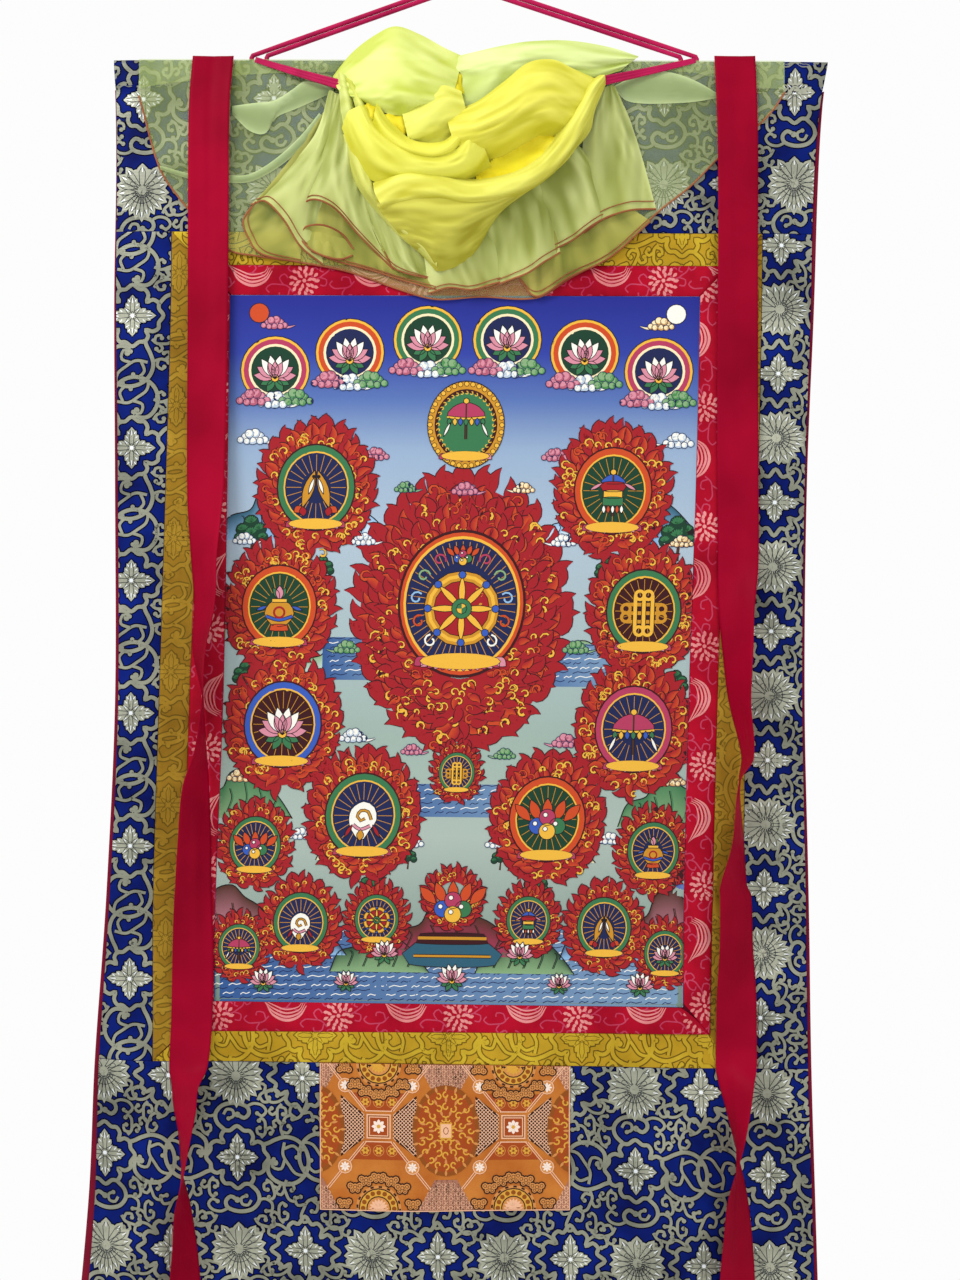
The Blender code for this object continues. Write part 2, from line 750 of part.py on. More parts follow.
def bunch_object(collection, material):
    """The gathered middle of the veil, from its folded front to its back, which lies in the bib."""
    outline = closed_curve(BUNCH_OUTLINE, BUNCH_ANGLES)
    mesh = bmesh.new()
    base = veil_clear(*BUNCH_MIDDLE)
    rings = [[mesh.verts.new(at(*BUNCH_MIDDLE, base + BUNCH_HEIGHT + fold_height(*BUNCH_MIDDLE)))]]
    for ring in range(1, BUNCH_RINGS + 1):
        share = (ring / BUNCH_RINGS) ** BUNCH_SPREAD
        dome = BUNCH_HEIGHT * max(1 - share * share, 0.0) ** BUNCH_ROUND
        edge = ease((1 - share) / BUNCH_EDGE)
        rings.append(bunch_ring(mesh, outline, share, lambda x, z: BUNCH_RIM + max(dome + fold_height(x, z) * edge, 0)))
    for ring in range(BUNCH_RINGS - BUNCH_BACK_EVERY, 0, -BUNCH_BACK_EVERY):
        rings.append(bunch_ring(mesh, outline, ring / BUNCH_RINGS, lambda x, z: -BUNCH_BEHIND))
    rings.append([mesh.verts.new(at(*BUNCH_MIDDLE, base - BUNCH_BEHIND))])
    for k in range(BUNCH_ANGLES):
        nxt = (k + 1) % BUNCH_ANGLES
        mesh.faces.new((rings[0][0], rings[1][nxt], rings[1][k]))
        for inner, outer in zip(rings[1:-1], rings[2:-1]):
            mesh.faces.new((inner[k], inner[nxt], outer[nxt], outer[k]))
        mesh.faces.new((rings[-1][0], rings[-2][k], rings[-2][nxt]))
    bmesh.ops.triangulate(mesh, faces=mesh.faces[:])
    bmesh.ops.recalc_face_normals(mesh, faces=mesh.faces[:])
    data = bpy.data.meshes.new("bunch")
    mesh.to_mesh(data)
    mesh.free()
    return new_object("bunch", data, material, collection)


def veil(materials, collection, helpers):
    """One length of organza: the flat bib, the flounces and the bunch, joined into one solid."""
    material = materials["yellow_organza"]
    body = bunch_object(collection, material)
    body.name = body.data.name = "veil"
    for other in (bib_object(helpers, material), flounce_object(helpers, material)):
        other.hide_render = True
        other.display_type = "WIRE"
        union = body.modifiers.new("join " + other.name, "BOOLEAN")
        union.operation = "UNION"
        union.object = other


def tie(row, material, collection):
    """A flat tie, narrow where it leaves the top edge and spread where it holds the bunch."""
    side, top_across, top_drop, top_forward, end_across, end_drop, end_forward = row
    along = Vector((end_across - top_across, end_drop - top_drop)).normalized()
    normal = Vector((along.y, -along.x))
    rows = []
    for step in range(TIE_STEPS + 1):
        t = step / TIE_STEPS
        half = (TIE_TOP_WIDTH + (TIE_END_WIDTH - TIE_TOP_WIDTH) * t) / 2
        x = top_across + (end_across - top_across) * t
        z = top_drop + (end_drop - top_drop) * t
        depth = top_forward + (end_forward - top_forward) * t ** TIE_RISE
        rows.append([at(x + normal.x * half * k, z + normal.y * half * k, depth) for k in (-1, 1)])
    name = "tie_" + side
    obj = new_object(name, sheet_mesh(name, rows), material, collection)
    solidify(obj, TIE_THICK)


def cord_route(offset):
    """A strand of the hanging cord, from the left end up over the apex to the right end."""
    halves = []
    for across, depth in (CORD_LEFT, CORD_RIGHT):
        side = math.copysign(1, across)
        top = row_drop("top", across)
        line = Vector((across, top)).normalized()
        normal = Vector((side * line.y, -abs(line.x)))
        reach = (top - CORD_TURN + abs(line.x) * offset) / line.y
        half = []
        for share in CORD_SHARES:
            place = line * max(reach * share, APEX_ROUND) + normal * offset
            half.append((place.x, place.y, CORD_APEX_FORWARD + (depth - CORD_APEX_FORWARD) * share))
        end = half[-1][0] + side * CORD_END_STEP
        half += [(end, top - CORD_TURN / 2, depth), (end, top - CORD_END_GAP, depth)]
        halves.append(half)
    apex = (0.0, APEX_ROUND * APEX_FLAT - offset, CORD_APEX_FORWARD)
    return halves[0][::-1] + [apex] + halves[1]


def cord(name, offset, material, collection):
    curve = bpy.data.curves.new(name, "CURVE")
    curve.dimensions = "3D"
    curve.bevel_depth = CORD_THICK / 2 * MM
    curve.bevel_resolution = 2
    curve.use_fill_caps = True
    spline = curve.splines.new("POLY")
    route = cord_route(offset)
    spline.points.add(len(route) - 1)
    for point, place in zip(spline.points, route):
        point.co = (*at(*place), 1.0)
    new_object(name, curve, material, collection)


def main():
    for obj in list(bpy.data.objects):
        bpy.data.objects.remove(obj, do_unlink=True)
    collection = bpy.data.collections.new("thangka_scroll")
    helpers = bpy.data.collections.new("joined_pieces")
    for each in (collection, helpers):
        bpy.context.scene.collection.children.link(each)
    materials = {name: new_material(name) for name in MATERIALS}
    mount_pieces(Grid(), materials, collection)
    ribbon("ribbon_left", LEFT_RIBBON, materials["red_satin"], collection)
    ribbon("ribbon_right", RIGHT_RIBBON, materials["red_satin"], collection)
    veil(materials, collection, helpers)
    for row in TIES[1:]:
        tie(row, materials["magenta_cord"], collection)
    cord("hanging_cord_upper", CORD_APART / 2, materials["magenta_cord"], collection)
    cord("hanging_cord_lower", -CORD_APART / 2, materials["magenta_cord"], collection)


main()
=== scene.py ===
import math

import bpy
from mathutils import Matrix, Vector
import numpy as np


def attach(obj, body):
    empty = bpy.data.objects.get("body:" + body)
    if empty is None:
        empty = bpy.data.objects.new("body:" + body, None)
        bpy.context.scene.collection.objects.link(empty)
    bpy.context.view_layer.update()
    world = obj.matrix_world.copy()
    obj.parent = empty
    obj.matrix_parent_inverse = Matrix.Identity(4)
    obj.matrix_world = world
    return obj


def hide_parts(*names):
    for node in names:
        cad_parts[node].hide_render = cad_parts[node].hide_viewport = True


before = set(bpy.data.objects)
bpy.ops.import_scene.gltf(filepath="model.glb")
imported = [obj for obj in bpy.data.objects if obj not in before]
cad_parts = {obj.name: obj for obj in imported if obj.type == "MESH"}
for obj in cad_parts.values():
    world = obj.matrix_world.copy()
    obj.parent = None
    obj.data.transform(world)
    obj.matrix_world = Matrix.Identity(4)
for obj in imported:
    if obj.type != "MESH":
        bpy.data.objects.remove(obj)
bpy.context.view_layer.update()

# Hanging scroll painting in a brocade mount, with a gathered organza veil, satin ribbons and a cord.
# Lengths in the tables are millimetres: across runs along X, drop is below the cord's apex,
# and forward is towards the viewer, which is -Y. Everything here repeats the frame's own measures.
mm = 0.001

seams = (
    ("drop", "left", "left_gold", "left_red", "left_art", "right_art", "right_red", "right_gold", "right"),
    (96, -431, -359, -320, -285, 289, 325, 365, 446),
    (150, -428, -359, -320, -285, 289, 325, 365, 438),
    (245, -427, -358, -320, -286, 288, 323, 364, 432),
    (392, -429, -359, -320, -287, 287, 322, 362, 427),
    (611, -428, -365, -326, -290, 282, 317, 357, 418),
    (880, -428, -373, -336, -295, 273, 308, 343, 415),
    (1124, -439, -380, -343, -304, 267, 302, 339, 420),
    (1322, -453, -380, -345, -307, 266, 298, 334, 423),
    (1490, -461, -382, -345, -307, 266, 298, 333, 428),
    (1752, -486, -388, -348, -308, 266, 299, 334, 436),
)
edges = (
    ("drop", "left_lip", "right_lip", "left_curl", "right_curl"),
    (96, 1, 1, 2, 2),
    (250, 1, 5, 4, 5),
    (500, 3, 3, 7, 6),
    (900, 4, 3, 8, 6),
    (1300, 5, 4, 9, 6),
    (1560, 9, 4, 12, 7),
    (1752, 10, 5, 8, 6),
)
rows = {
    "top": (96.4, 98.8),
    "hem": (133.0, 134.8),
    "gold_top": (307.4, 310.5),
    "red_top": (348.3, 350.1),
    "art_top": (384.9, 387.4),
    "art_end": (1244.4, 1256.6),
    "red_end": (1282.2, 1287.7),
    "gold_end": (1317.6, 1329.8),
    "door_end": (1500.6, 1503.7),
    "low_hem": (1719.0, 1724.0),
    "end": (1748.0, 1753.0),
}
rowEnds = (-445.0, 409.0)
doorShares = (0.2266, 0.7596)
topHem = (("share", "thick"), (0.0, 3.0), (0.14, 8.0), (0.45, 9.2), (0.86, 7.0), (1.0, 1.4))
lowHem = (("share", "thick"), (0.0, 1.4), (0.12, 4.0), (0.6, 6.0), (1.0, 3.0))
standOff = (("drop", "forward"), (96, 9), (160, 12), (330, 17), (800, 19), (1300, 21), (1752, 19))
broadFolds = (
    ("top_across", "end_across", "from_drop", "to_drop", "half_width", "height"),
    (-396, -408, 380, 1400, 26, 3.5),
    (392, 378, 300, 1340, 24, 4.0),
    (232, 214, 640, 1300, 60, -3.0),
    (-225, -240, 760, 1290, 75, 3.0),
    (0, -20, 420, 1180, 130, 2.5),
    (-352, -385, 1230, 1800, 50, 8.0),
    (-205, -225, 1290, 1800, 75, -5.0),
    (-60, -75, 1310, 1800, 70, 5.0),
    (110, 118, 1310, 1800, 75, -5.0),
    (262, 268, 1260, 1800, 60, 8.0),
    (-330, -300, 90, 360, 60, 3.0),
    (130, 150, 120, 330, 90, -2.0),
    (330, 345, 110, 360, 55, 3.0),
)
cloth = dict(foldFade=130.0, curlReach=48.0, brocade=1.4, strip=1.2, painting=1.2, lining=1.0, door=1.0,
             liningBehind=1.9, doorAhead=1.6, seamGap=0.15, cell=7.4, liningCell=14.0)


def hexColour(code):
    # sRGB hex to linear
    channels = [int(code[k:k + 2], 16) / 255 for k in (1, 3, 5)]
    return tuple(c / 12.92 if c <= 0.04045 else ((c + 0.055) / 1.055) ** 2.4 for c in channels) + (1.0,)


def addNode(tree, kind, settings=None, links=None, **properties):
    node = tree.nodes.new(kind)
    for key, value in properties.items():
        setattr(node, key, value)
    for key, value in (settings or {}).items():
        node.inputs[key].default_value = value
    for key, source in (links or {}).items():
        tree.links.new(source, node.inputs[key])
    return node


def newMaterial(name):
    material = bpy.data.materials.new(name)
    material.use_nodes = True
    material.node_tree.nodes.clear()
    return material, material.node_tree


def bandScale(pitch):
    # a wave texture's scale for bands this many millimetres apart
    return 2 * math.pi / 20 / (pitch * mm)


def weaveBump(tree, place, pitch, depth, warpToWeft=1.0, twist=0.6):
    # crossing threads, and the normal that they give
    warp = addNode(tree, "ShaderNodeTexWave", {"Scale": bandScale(pitch), "Distortion": twist, "Detail": 1.0,
                                               "Detail Scale": 2.0}, {"Vector": place}, bands_direction="X")
    weft = addNode(tree, "ShaderNodeTexWave", {"Scale": bandScale(pitch * warpToWeft), "Distortion": twist,
                                               "Detail": 1.0, "Detail Scale": 2.0}, {"Vector": place},
                   bands_direction="Z")
    both = addNode(tree, "ShaderNodeMath", None, {0: warp.outputs["Fac"], 1: weft.outputs["Fac"]},
                   operation="MAXIMUM")
    bump = addNode(tree, "ShaderNodeBump", {"Strength": 0.6, "Distance": depth * mm},
                   {"Height": both.outputs[0]})
    return both.outputs[0], bump.outputs["Normal"]


def clothMaterial(name, dark, light, roughness, metallic=0.0, sheen=0.0, pitch=1.6, depth=0.15, patch=60.0,
                  mixFrom=0.3, mixTo=0.7, warpToWeft=1.0, alpha=None, specular=0.1):
    # a woven cloth of two near colours, with its threads, and soft uneven patches this many mm across
    material, tree = newMaterial(name)
    place = addNode(tree, "ShaderNodeTexCoord").outputs["Object"]
    threads, normal = weaveBump(tree, place, pitch, depth, warpToWeft)
    patches = addNode(tree, "ShaderNodeTexNoise", {"Scale": 1 / (patch * mm), "Detail": 3.0, "Roughness": 0.6},
                      {"Vector": place})
    share = addNode(tree, "ShaderNodeMapRange", {"From Min": mixFrom, "From Max": mixTo},
                    {"Value": patches.outputs["Fac"]})
    colour = tree.nodes.new("ShaderNodeMix")
    colour.data_type = "RGBA"
    colour.inputs[6].default_value = hexColour(dark)
    colour.inputs[7].default_value = hexColour(light)
    tree.links.new(share.outputs[0], colour.inputs[0])
    shade = tree.nodes.new("ShaderNodeMix")
    shade.data_type = "RGBA"
    shade.blend_type = "MULTIPLY"
    shade.inputs[0].default_value = 0.22
    tree.links.new(colour.outputs[2], shade.inputs[6])
    tree.links.new(threads, shade.inputs[7])
    shader = addNode(tree, "ShaderNodeBsdfPrincipled", {"Roughness": roughness, "Metallic": metallic,
                                                       "Sheen Weight": sheen, "Sheen Roughness": 0.4,
                                                       "Specular IOR Level": specular},
                     {"Base Color": shade.outputs[2], "Normal": normal})
    if alpha is not None:
        shader.inputs["Alpha"].default_value = alpha
    addNode(tree, "ShaderNodeOutputMaterial", None, {"Surface": shader.outputs["BSDF"]})
    return material


materials = {
    "blue": clothMaterial("silk satin ground, woven blue", "#030c48", "#082078", 0.55, pitch=1.3, specular=0.05),
    # the navy ink: a near-black outline round each silver figure, painted shadow beside the raised thread
    "navy": clothMaterial("silk, navy outline as painted shadow", "#010114", "#040422", 0.6, pitch=1.3, specular=0.03),
    "band": clothMaterial("metal thread, brocaded dull silver", "#6c6e62", "#a0a290", 0.42, metallic=0.45, pitch=1.1,
                          depth=0.2, warpToWeft=1.6),
    "silver": clothMaterial("metal thread, brocaded silver", "#86887a", "#b8baa6", 0.38, metallic=0.55, pitch=1.1,
                            depth=0.2, warpToWeft=1.6),
    "tarnish": clothMaterial("metal thread, sunk and tarnished", "#1e2226", "#44484a", 0.5, metallic=0.3, pitch=1.1),
    # the glint ink: near-white strokes and dots that are painted highlights on the silver figures
    "bright": clothMaterial("metal thread, silver painted as highlight", "#dce4ea", "#f6fafc", 0.28, metallic=0.55, pitch=1.1),
    "gold": clothMaterial("silk and gilt thread, woven gold", "#a28018", "#c49e28", 0.42, metallic=0.35, pitch=1.2),
    "goldBand": clothMaterial("gilt thread, brocaded gold", "#ac8a20", "#d0b232", 0.36, metallic=0.5, pitch=1.2),
    # the side strips' gold: a darker copy of the same cloth, painted shade where they face sideways
    "goldShadedSide": clothMaterial("silk and gilt thread, side in painted shade", "#7e5c14", "#a27c22", 0.45, metallic=0.3, pitch=1.2),
    "goldShadedSideBand": clothMaterial("gilt thread, side in painted shade", "#8c6a1c", "#ae8a2c", 0.4, metallic=0.4, pitch=1.2),
    "olive": clothMaterial("silk, woven olive outline", "#57430a", "#7a6014", 0.6, pitch=1.2),
    "crimson": clothMaterial("silk damask, woven crimson", "#90041e", "#b60c2a", 0.5, pitch=1.3, specular=0.05),
    "rose": clothMaterial("silk damask, woven rose line", "#a82444", "#c44a66", 0.45, pitch=1.3),
    "salmon": clothMaterial("gilt and rose thread, brocaded", "#c8686c", "#e89a98", 0.42, metallic=0.2, pitch=1.3),
    "lining": clothMaterial("cotton, woven crimson lining", "#6c0b24", "#7a0e28", 0.85, pitch=1.0, depth=0.1),
    "satin": clothMaterial("cotton sateen ribbon, dyed crimson", "#7e021e", "#a0062a", 0.5, pitch=1.0,
                           depth=0.05, patch=180.0, specular=0.03),
    "orange": clothMaterial("silk brocade, woven orange", "#b05e20", "#c87c34", 0.5, metallic=0.1, pitch=1.2),
    "canvas": clothMaterial("cotton canvas, printed", "#3a4a9a", "#a8c8f0", 0.7, pitch=1.0),
    "organza": clothMaterial("silk organza, one sheer layer", "#a4b864", "#c2d490", 0.5, pitch=1.0, depth=0.05,
                             alpha=0.29),
    "hemThread": clothMaterial("cotton thread, overlocked brown", "#8a4c30", "#a86a44", 0.7, pitch=1.5),
    "cord": clothMaterial("rayon cord, twisted magenta", "#960a3e", "#be1854", 0.4, sheen=0.1, pitch=2.0),
}
print("materials ready")


def readSmooth(table, name, at):
    # one column of a table, on a smooth curve through its rows
    lines = np.array(table[1:], float)
    keys, values = lines[:, 0], lines[:, table[0].index(name)]
    last = len(keys) - 1
    before = np.maximum(np.arange(last + 1) - 1, 0)
    after = np.minimum(np.arange(last + 1) + 1, last)
    slopes = (values[after] - values[before]) / (keys[after] - keys[before])
    at = np.asarray(at, float)
    low = np.clip(np.searchsorted(keys, at, side="left") - 1, 0, last - 1)
    span = keys[low + 1] - keys[low]
    t = np.clip((at - keys[low]) / span, 0, 1)
    ends = (2 * t ** 3 - 3 * t ** 2 + 1) * values[low] + (3 * t ** 2 - 2 * t ** 3) * values[low + 1]
    return ends + ((t ** 3 - 2 * t ** 2 + t) * slopes[low] + (t ** 3 - t ** 2) * slopes[low + 1]) * span


def ease(t):
    t = np.clip(t, 0, 1)
    return t * t * (3 - 2 * t)


def seamAcross(name, drop):
    if name == "left_brocade":
        return readSmooth(seams, "left", drop) + readSmooth(edges, "left_lip", drop)
    if name == "right_brocade":
        return readSmooth(seams, "right", drop) - readSmooth(edges, "right_lip", drop)
    if name in ("left_door", "right_door"):
        left, right = readSmooth(seams, "left_art", drop), readSmooth(seams, "right_art", drop)
        return left + (right - left) * doorShares[name == "right_door"]
    return readSmooth(seams, name, drop)


def rowDrop(name, across):
    left, right = rows[name]
    return left + (right - left) * (np.asarray(across) - rowEnds[0]) / (rowEnds[1] - rowEnds[0])


def softNoise(x, y, seed):
    # value noise with cells of 1 by 1, from -1 to 1
    lattice = np.random.default_rng(seed).uniform(-1, 1, (64, 64))
    i, j = np.floor(x).astype(int), np.floor(y).astype(int)
    s, t = ease(x - i), ease(y - j)
    i, j, k, m = i % 64, j % 64, (i + 1) % 64, (j + 1) % 64
    upper = lattice[i, j] * (1 - s) + lattice[k, j] * s
    lower = lattice[i, m] * (1 - s) + lattice[k, m] * s
    return upper * (1 - t) + lower * t


# Short pinched creases: where each starts and ends, how high its lip is, and how far it reaches below and above
pinches = (
    ("from_across", "from_drop", "to_across", "to_drop", "rise", "below", "above"),
    (262, 1108, 308, 1118, 3.2, 3.0, 26.0),
    (300, 1116, 310, 1150, 2.0, 3.0, 14.0),
    (-330, 236, -296, 240, 0.8, 2.0, 9.0),
)
unevenness = dict(broad=1.1, broadAcross=75.0, broadDrop=230.0, fine=0.3, fineAcross=21.0, fineDrop=62.0)


def forward(across, drop):
    # how far the middle of the mount's cloth stands from the wall
    across, drop = np.asarray(across, float), np.asarray(drop, float)
    depth = readSmooth(standOff, "forward", drop)
    for topAcross, endAcross, start, end, halfWidth, height in broadFolds[1:]:
        share = np.clip((drop - start) / (end - start), 0, 1)
        middle = topAcross + (endAcross - topAcross) * share
        window = ease((drop - start) / cloth["foldFade"]) * ease((end - drop) / cloth["foldFade"])
        depth = depth + height * window * np.exp(-(((across - middle) / halfWidth) ** 2))
    for side, sign in (("left", 1), ("right", -1)):
        inside = (across - readSmooth(seams, side, drop)) * sign
        near = 1 - np.clip(inside, 0, cloth["curlReach"]) / cloth["curlReach"]
        depth = depth - readSmooth(edges, side + "_curl", drop) * near * near
    return depth


def relief(across, drop):
    # the cloth's small unevenness and its pinched creases, the same for every layer
    u = unevenness
    depth = u["broad"] * softNoise(across / u["broadAcross"], drop / u["broadDrop"], 3)
    depth = depth + u["fine"] * softNoise(across / u["fineAcross"], drop / u["fineDrop"], 5)
    for x0, z0, x1, z1, rise, below, above in pinches[1:]:
        length = math.hypot(x1 - x0, z1 - z0)
        ux, uz = (x1 - x0) / length, (z1 - z0) / length
        along = ((across - x0) * ux + (drop - z0) * uz) / length
        off = (across - x0) * -uz + (drop - z0) * ux
        lip = np.where(off > 0, np.exp(-(off / below) ** 2), np.exp(-(off / above) ** 2))
        depth = depth + rise * lip * ease(along / 0.2 + 0.5) * ease((1 - along) / 0.2 + 0.5)
    return depth * ease((drop - 100) / 40) * ease((1745 - drop) / 40)


def at(across, drop, depth):
    return np.stack([np.asarray(across), -np.asarray(depth), -np.asarray(drop)], axis=-1) * mm


def meshPiece(name, points, faces, material, smooth=True):
    mesh = bpy.data.meshes.new(name)
    mesh.from_pydata([tuple(p) for p in points], [], faces)
    mesh.materials.append(material)
    if smooth:
        mesh.shade_smooth()
    mesh.update()
    piece = bpy.data.objects.new(name, mesh)
    bpy.context.scene.collection.objects.link(piece)
    return piece


def gridFaces(down, wide, offset=0, flip=False):
    j, i = np.meshgrid(np.arange(down - 1), np.arange(wide - 1), indexing="ij")
    a = (j * wide + i + offset).ravel()
    quads = np.stack([a, a + wide, a + wide + 1, a + 1], axis=1)
    return (quads[:, ::-1] if flip else quads).tolist()


def thinSheet(name, front, back, material):
    # a closed thin sheet from two grids of points, front and back
    down, wide = front.shape[:2]
    count = down * wide
    faces = gridFaces(down, wide) + gridFaces(down, wide, count, True)
    rim = [j * wide for j in range(down)] + [(down - 1) * wide + i for i in range(1, wide)]
    rim += [j * wide + wide - 1 for j in range(down - 2, -1, -1)] + [i for i in range(wide - 2, 0, -1)]
    for a, b in zip(rim, rim[1:] + rim[:1]):
        faces.append((b, a, a + count, b + count))
    return meshPiece(name, np.vstack([front.reshape(-1, 3), back.reshape(-1, 3)]), faces, material)


# Every flat piece of the mount: its long seams, its crossing rows, and how it is mitred
panels = {
    "brocade_top": dict(seams=("left_brocade", "right_brocade"), rows=("top", "gold_top"), colour="blue"),
    "brocade_left": dict(seams=("left_brocade", "left_gold"), rows=("gold_top", "gold_end"), colour="blue"),
    "brocade_right": dict(seams=("right_gold", "right_brocade"), rows=("gold_top", "gold_end"), colour="blue"),
    "brocade_bottom": dict(seams=("left_brocade", "right_brocade"), rows=("gold_end", "end"), colour="blue"),
    "gold_top": dict(seams=("left_gold", "right_gold"), rows=("gold_top", "red_top"), colour="gold", mitre="top"),
    "gold_bottom": dict(seams=("left_gold", "right_gold"), rows=("red_end", "gold_end"), colour="gold",
                        mitre="bottom"),
    # the side gold strips take the darker copy of the gold, as painted shade
    "gold_left": dict(seams=("left_gold", "left_red"), rows=("gold_top", "gold_end"), colour="gold", mitre="left",
                      cloth="goldShadedSide"),
    "gold_right": dict(seams=("right_red", "right_gold"), rows=("gold_top", "gold_end"), colour="gold",
                       mitre="right", cloth="goldShadedSide"),
    "red_top": dict(seams=("left_red", "right_red"), rows=("red_top", "art_top"), colour="crimson", mitre="top"),
    "red_bottom": dict(seams=("left_red", "right_red"), rows=("art_end", "red_end"), colour="crimson",
                       mitre="bottom"),
    "red_left": dict(seams=("left_red", "left_art"), rows=("red_top", "red_end"), colour="crimson", mitre="left"),
    "red_right": dict(seams=("right_art", "right_red"), rows=("red_top", "red_end"), colour="crimson",
                      mitre="right"),
    "painting": dict(seams=("left_art", "right_art"), rows=("art_top", "art_end"), colour="canvas"),
    "door_patch": dict(seams=("left_door", "right_door"), rows=("gold_end", "door_end"), colour="orange"),
}
mitreWidths = {"gold": (39.0, 36.0, 40.8, 35.5), "crimson": (35.0, 36.0, 36.6, 37.6)}   # left, right, top, bottom
strips = dict(tuck=4.0, tuckSink=1.3, puff=1.6, cornerLift=3.0, cornerReach=150.0, seamSink=0.5, seamSoft=2.4)


def panelSize(panel):
    # its flat width and height, measured at its middle
    across, drop = 0.0, 0.0
    for _ in range(4):
        drop = (rowDrop(panel["rows"][0], across) + rowDrop(panel["rows"][1], across)) / 2
        left, right = (seamAcross(name, drop) for name in panel["seams"])
        across = (left + right) / 2
    top, low = (rowDrop(name, across) for name in panel["rows"])
    return float(right - left), float(low - top)


def toCloth(panel, x, y):
    # from flat millimetres on the panel to (across, drop)
    u, v = np.asarray(x) / panel["width"], np.asarray(y) / panel["height"]
    across = np.zeros(np.broadcast(u, v).shape)
    for _ in range(3):
        top, low = (rowDrop(name, across) for name in panel["rows"])
        drop = top + (low - top) * v
        start, end = (seamAcross(name, drop) for name in panel["seams"])
        across = start + (end - start) * u
    return across, drop


def mitreEnds(panel, x, y):
    # where the panel starts and ends along its length, at this far across it
    width, height = panel["width"], panel["height"]
    kind = panel.get("mitre")
    if kind in ("top", "bottom"):
        share = y / height if kind == "top" else 1 - y / height
        left, right = mitreWidths[panel["colour"]][:2]
        return left * share, width - right * share
    if kind in ("left", "right"):
        share = x / width if kind == "left" else 1 - x / width
        top, low = mitreWidths[panel["colour"]][2:]
        return top * share, height - low * share
    return None


def lineUp(length, cell):
    gap = cloth["seamGap"]
    ends = [gap, 1.2, 2.8, 5.0]
    count = max(int(round((length - 10.0) / cell)), 1)
    inner = np.linspace(5.0, length - 5.0, count + 1)[1:-1]
    return np.concatenate([ends, inner, [length - e for e in reversed(ends)]])


def clothThick(panel, drop, across):
    thick = np.full(np.shape(across), cloth[{"blue": "brocade", "canvas": "painting", "orange": "door"}
                    .get(panel["colour"], "strip")])
    for table, top, low in ((topHem, "top", "hem"), (lowHem, "low_hem", "end")):
        if panel["rows"][0] == top or panel["rows"][1] == low:
            start, end = rowDrop(top, across), rowDrop(low, across)
            share = (drop - start) / (end - start)
            rolled = readSmooth(table, "thick", np.clip(share, 0, 1))
            thick = np.where((share >= -0.01) & (share <= 1.01), rolled, thick)
    return thick


def clothDepth(panel, x, y, across, drop):
    depth = forward(across, drop) + relief(across, drop)
    sinks = [x, panel["width"] - x, y, panel["height"] - y]
    if panel["colour"] == "blue":
        keep = {"brocade_top": (3,), "brocade_bottom": (2,), "brocade_left": (1, 2, 3), "brocade_right": (0, 2, 3)}
        sinks = [sinks[k] for k in keep[panel["name"]]]
    for off in sinks:
        depth = depth - strips["seamSink"] * np.exp(-(off / strips["seamSoft"]) ** 2)
    if panel["colour"] == "crimson":
        share = (y / panel["height"]) if panel["mitre"] in ("top", "bottom") else (x / panel["width"])
        depth = depth + strips["puff"] * np.sin(np.pi * np.clip(share, 0, 1)) ** 0.8
        away = np.hypot(across - seamAcross("right_red", drop), drop - rowDrop("red_end", across))
        depth = depth + strips["cornerLift"] * ease(1 - away / strips["cornerReach"])
    return depth + (cloth["doorAhead"] if panel["name"] == "door_patch" else 0.0)


def makePanel(name, panel):
    panel["name"] = name
    panel["width"], panel["height"] = panelSize(panel)
    columns, lines = lineUp(panel["width"], cloth["cell"]), lineUp(panel["height"], cloth["cell"])
    for table, top, low in ((topHem, "top", "hem"), (lowHem, "low_hem", "end")):
        if panel["rows"][0] == top or panel["rows"][1] == low:
            lines = np.unique(np.concatenate([lines, (np.linspace(0, 36, 19) if top == "top" else
                                                      panel["height"] - np.linspace(0, 30, 16))]).round(1))
            lines = lines[(lines > 0.1) & (lines < panel["height"] - 0.1)]
    x, y = np.meshgrid(columns, lines)
    ends = mitreEnds(panel, x, y)
    if panel.get("mitre") in ("top", "bottom"):
        tucked = strips["tuck"] * 4 * (y / panel["height"]) * (1 - y / panel["height"])
        x = ends[0] + (ends[1] - ends[0] + tucked) * x / panel["width"]
    elif ends:
        y = ends[0] + (ends[1] - ends[0]) * y / panel["height"]
    across, drop = toCloth(panel, x, y)
    depth = clothDepth(panel, x, y, across, drop)
    if panel.get("mitre") in ("top", "bottom"):
        depth = depth - strips["tuckSink"] * ease((x - ends[1] + 0.6) / 0.6)
    thick = clothThick(panel, drop, across)
    panel["columns"], panel["lines"], panel["front"] = columns, lines, depth + thick / 2
    piece = thinSheet(name + "_cloth", at(across, drop, depth + thick / 2), at(across, drop, depth - thick / 2),
                      materials[panel.get("cloth", panel["colour"])])
    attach(piece, "root")
    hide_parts(name)
    panel["slot"] = {"blue": "blue_brocade", "gold": "gold_brocade", "crimson": "red_brocade",
                     "canvas": "painted_cloth", "orange": "orange_brocade"}[panel["colour"]]
    panel["piece"] = piece
    panel["trims"] = []
    return piece


for name, panel in panels.items():
    makePanel(name, panel)
print("mount sewn")


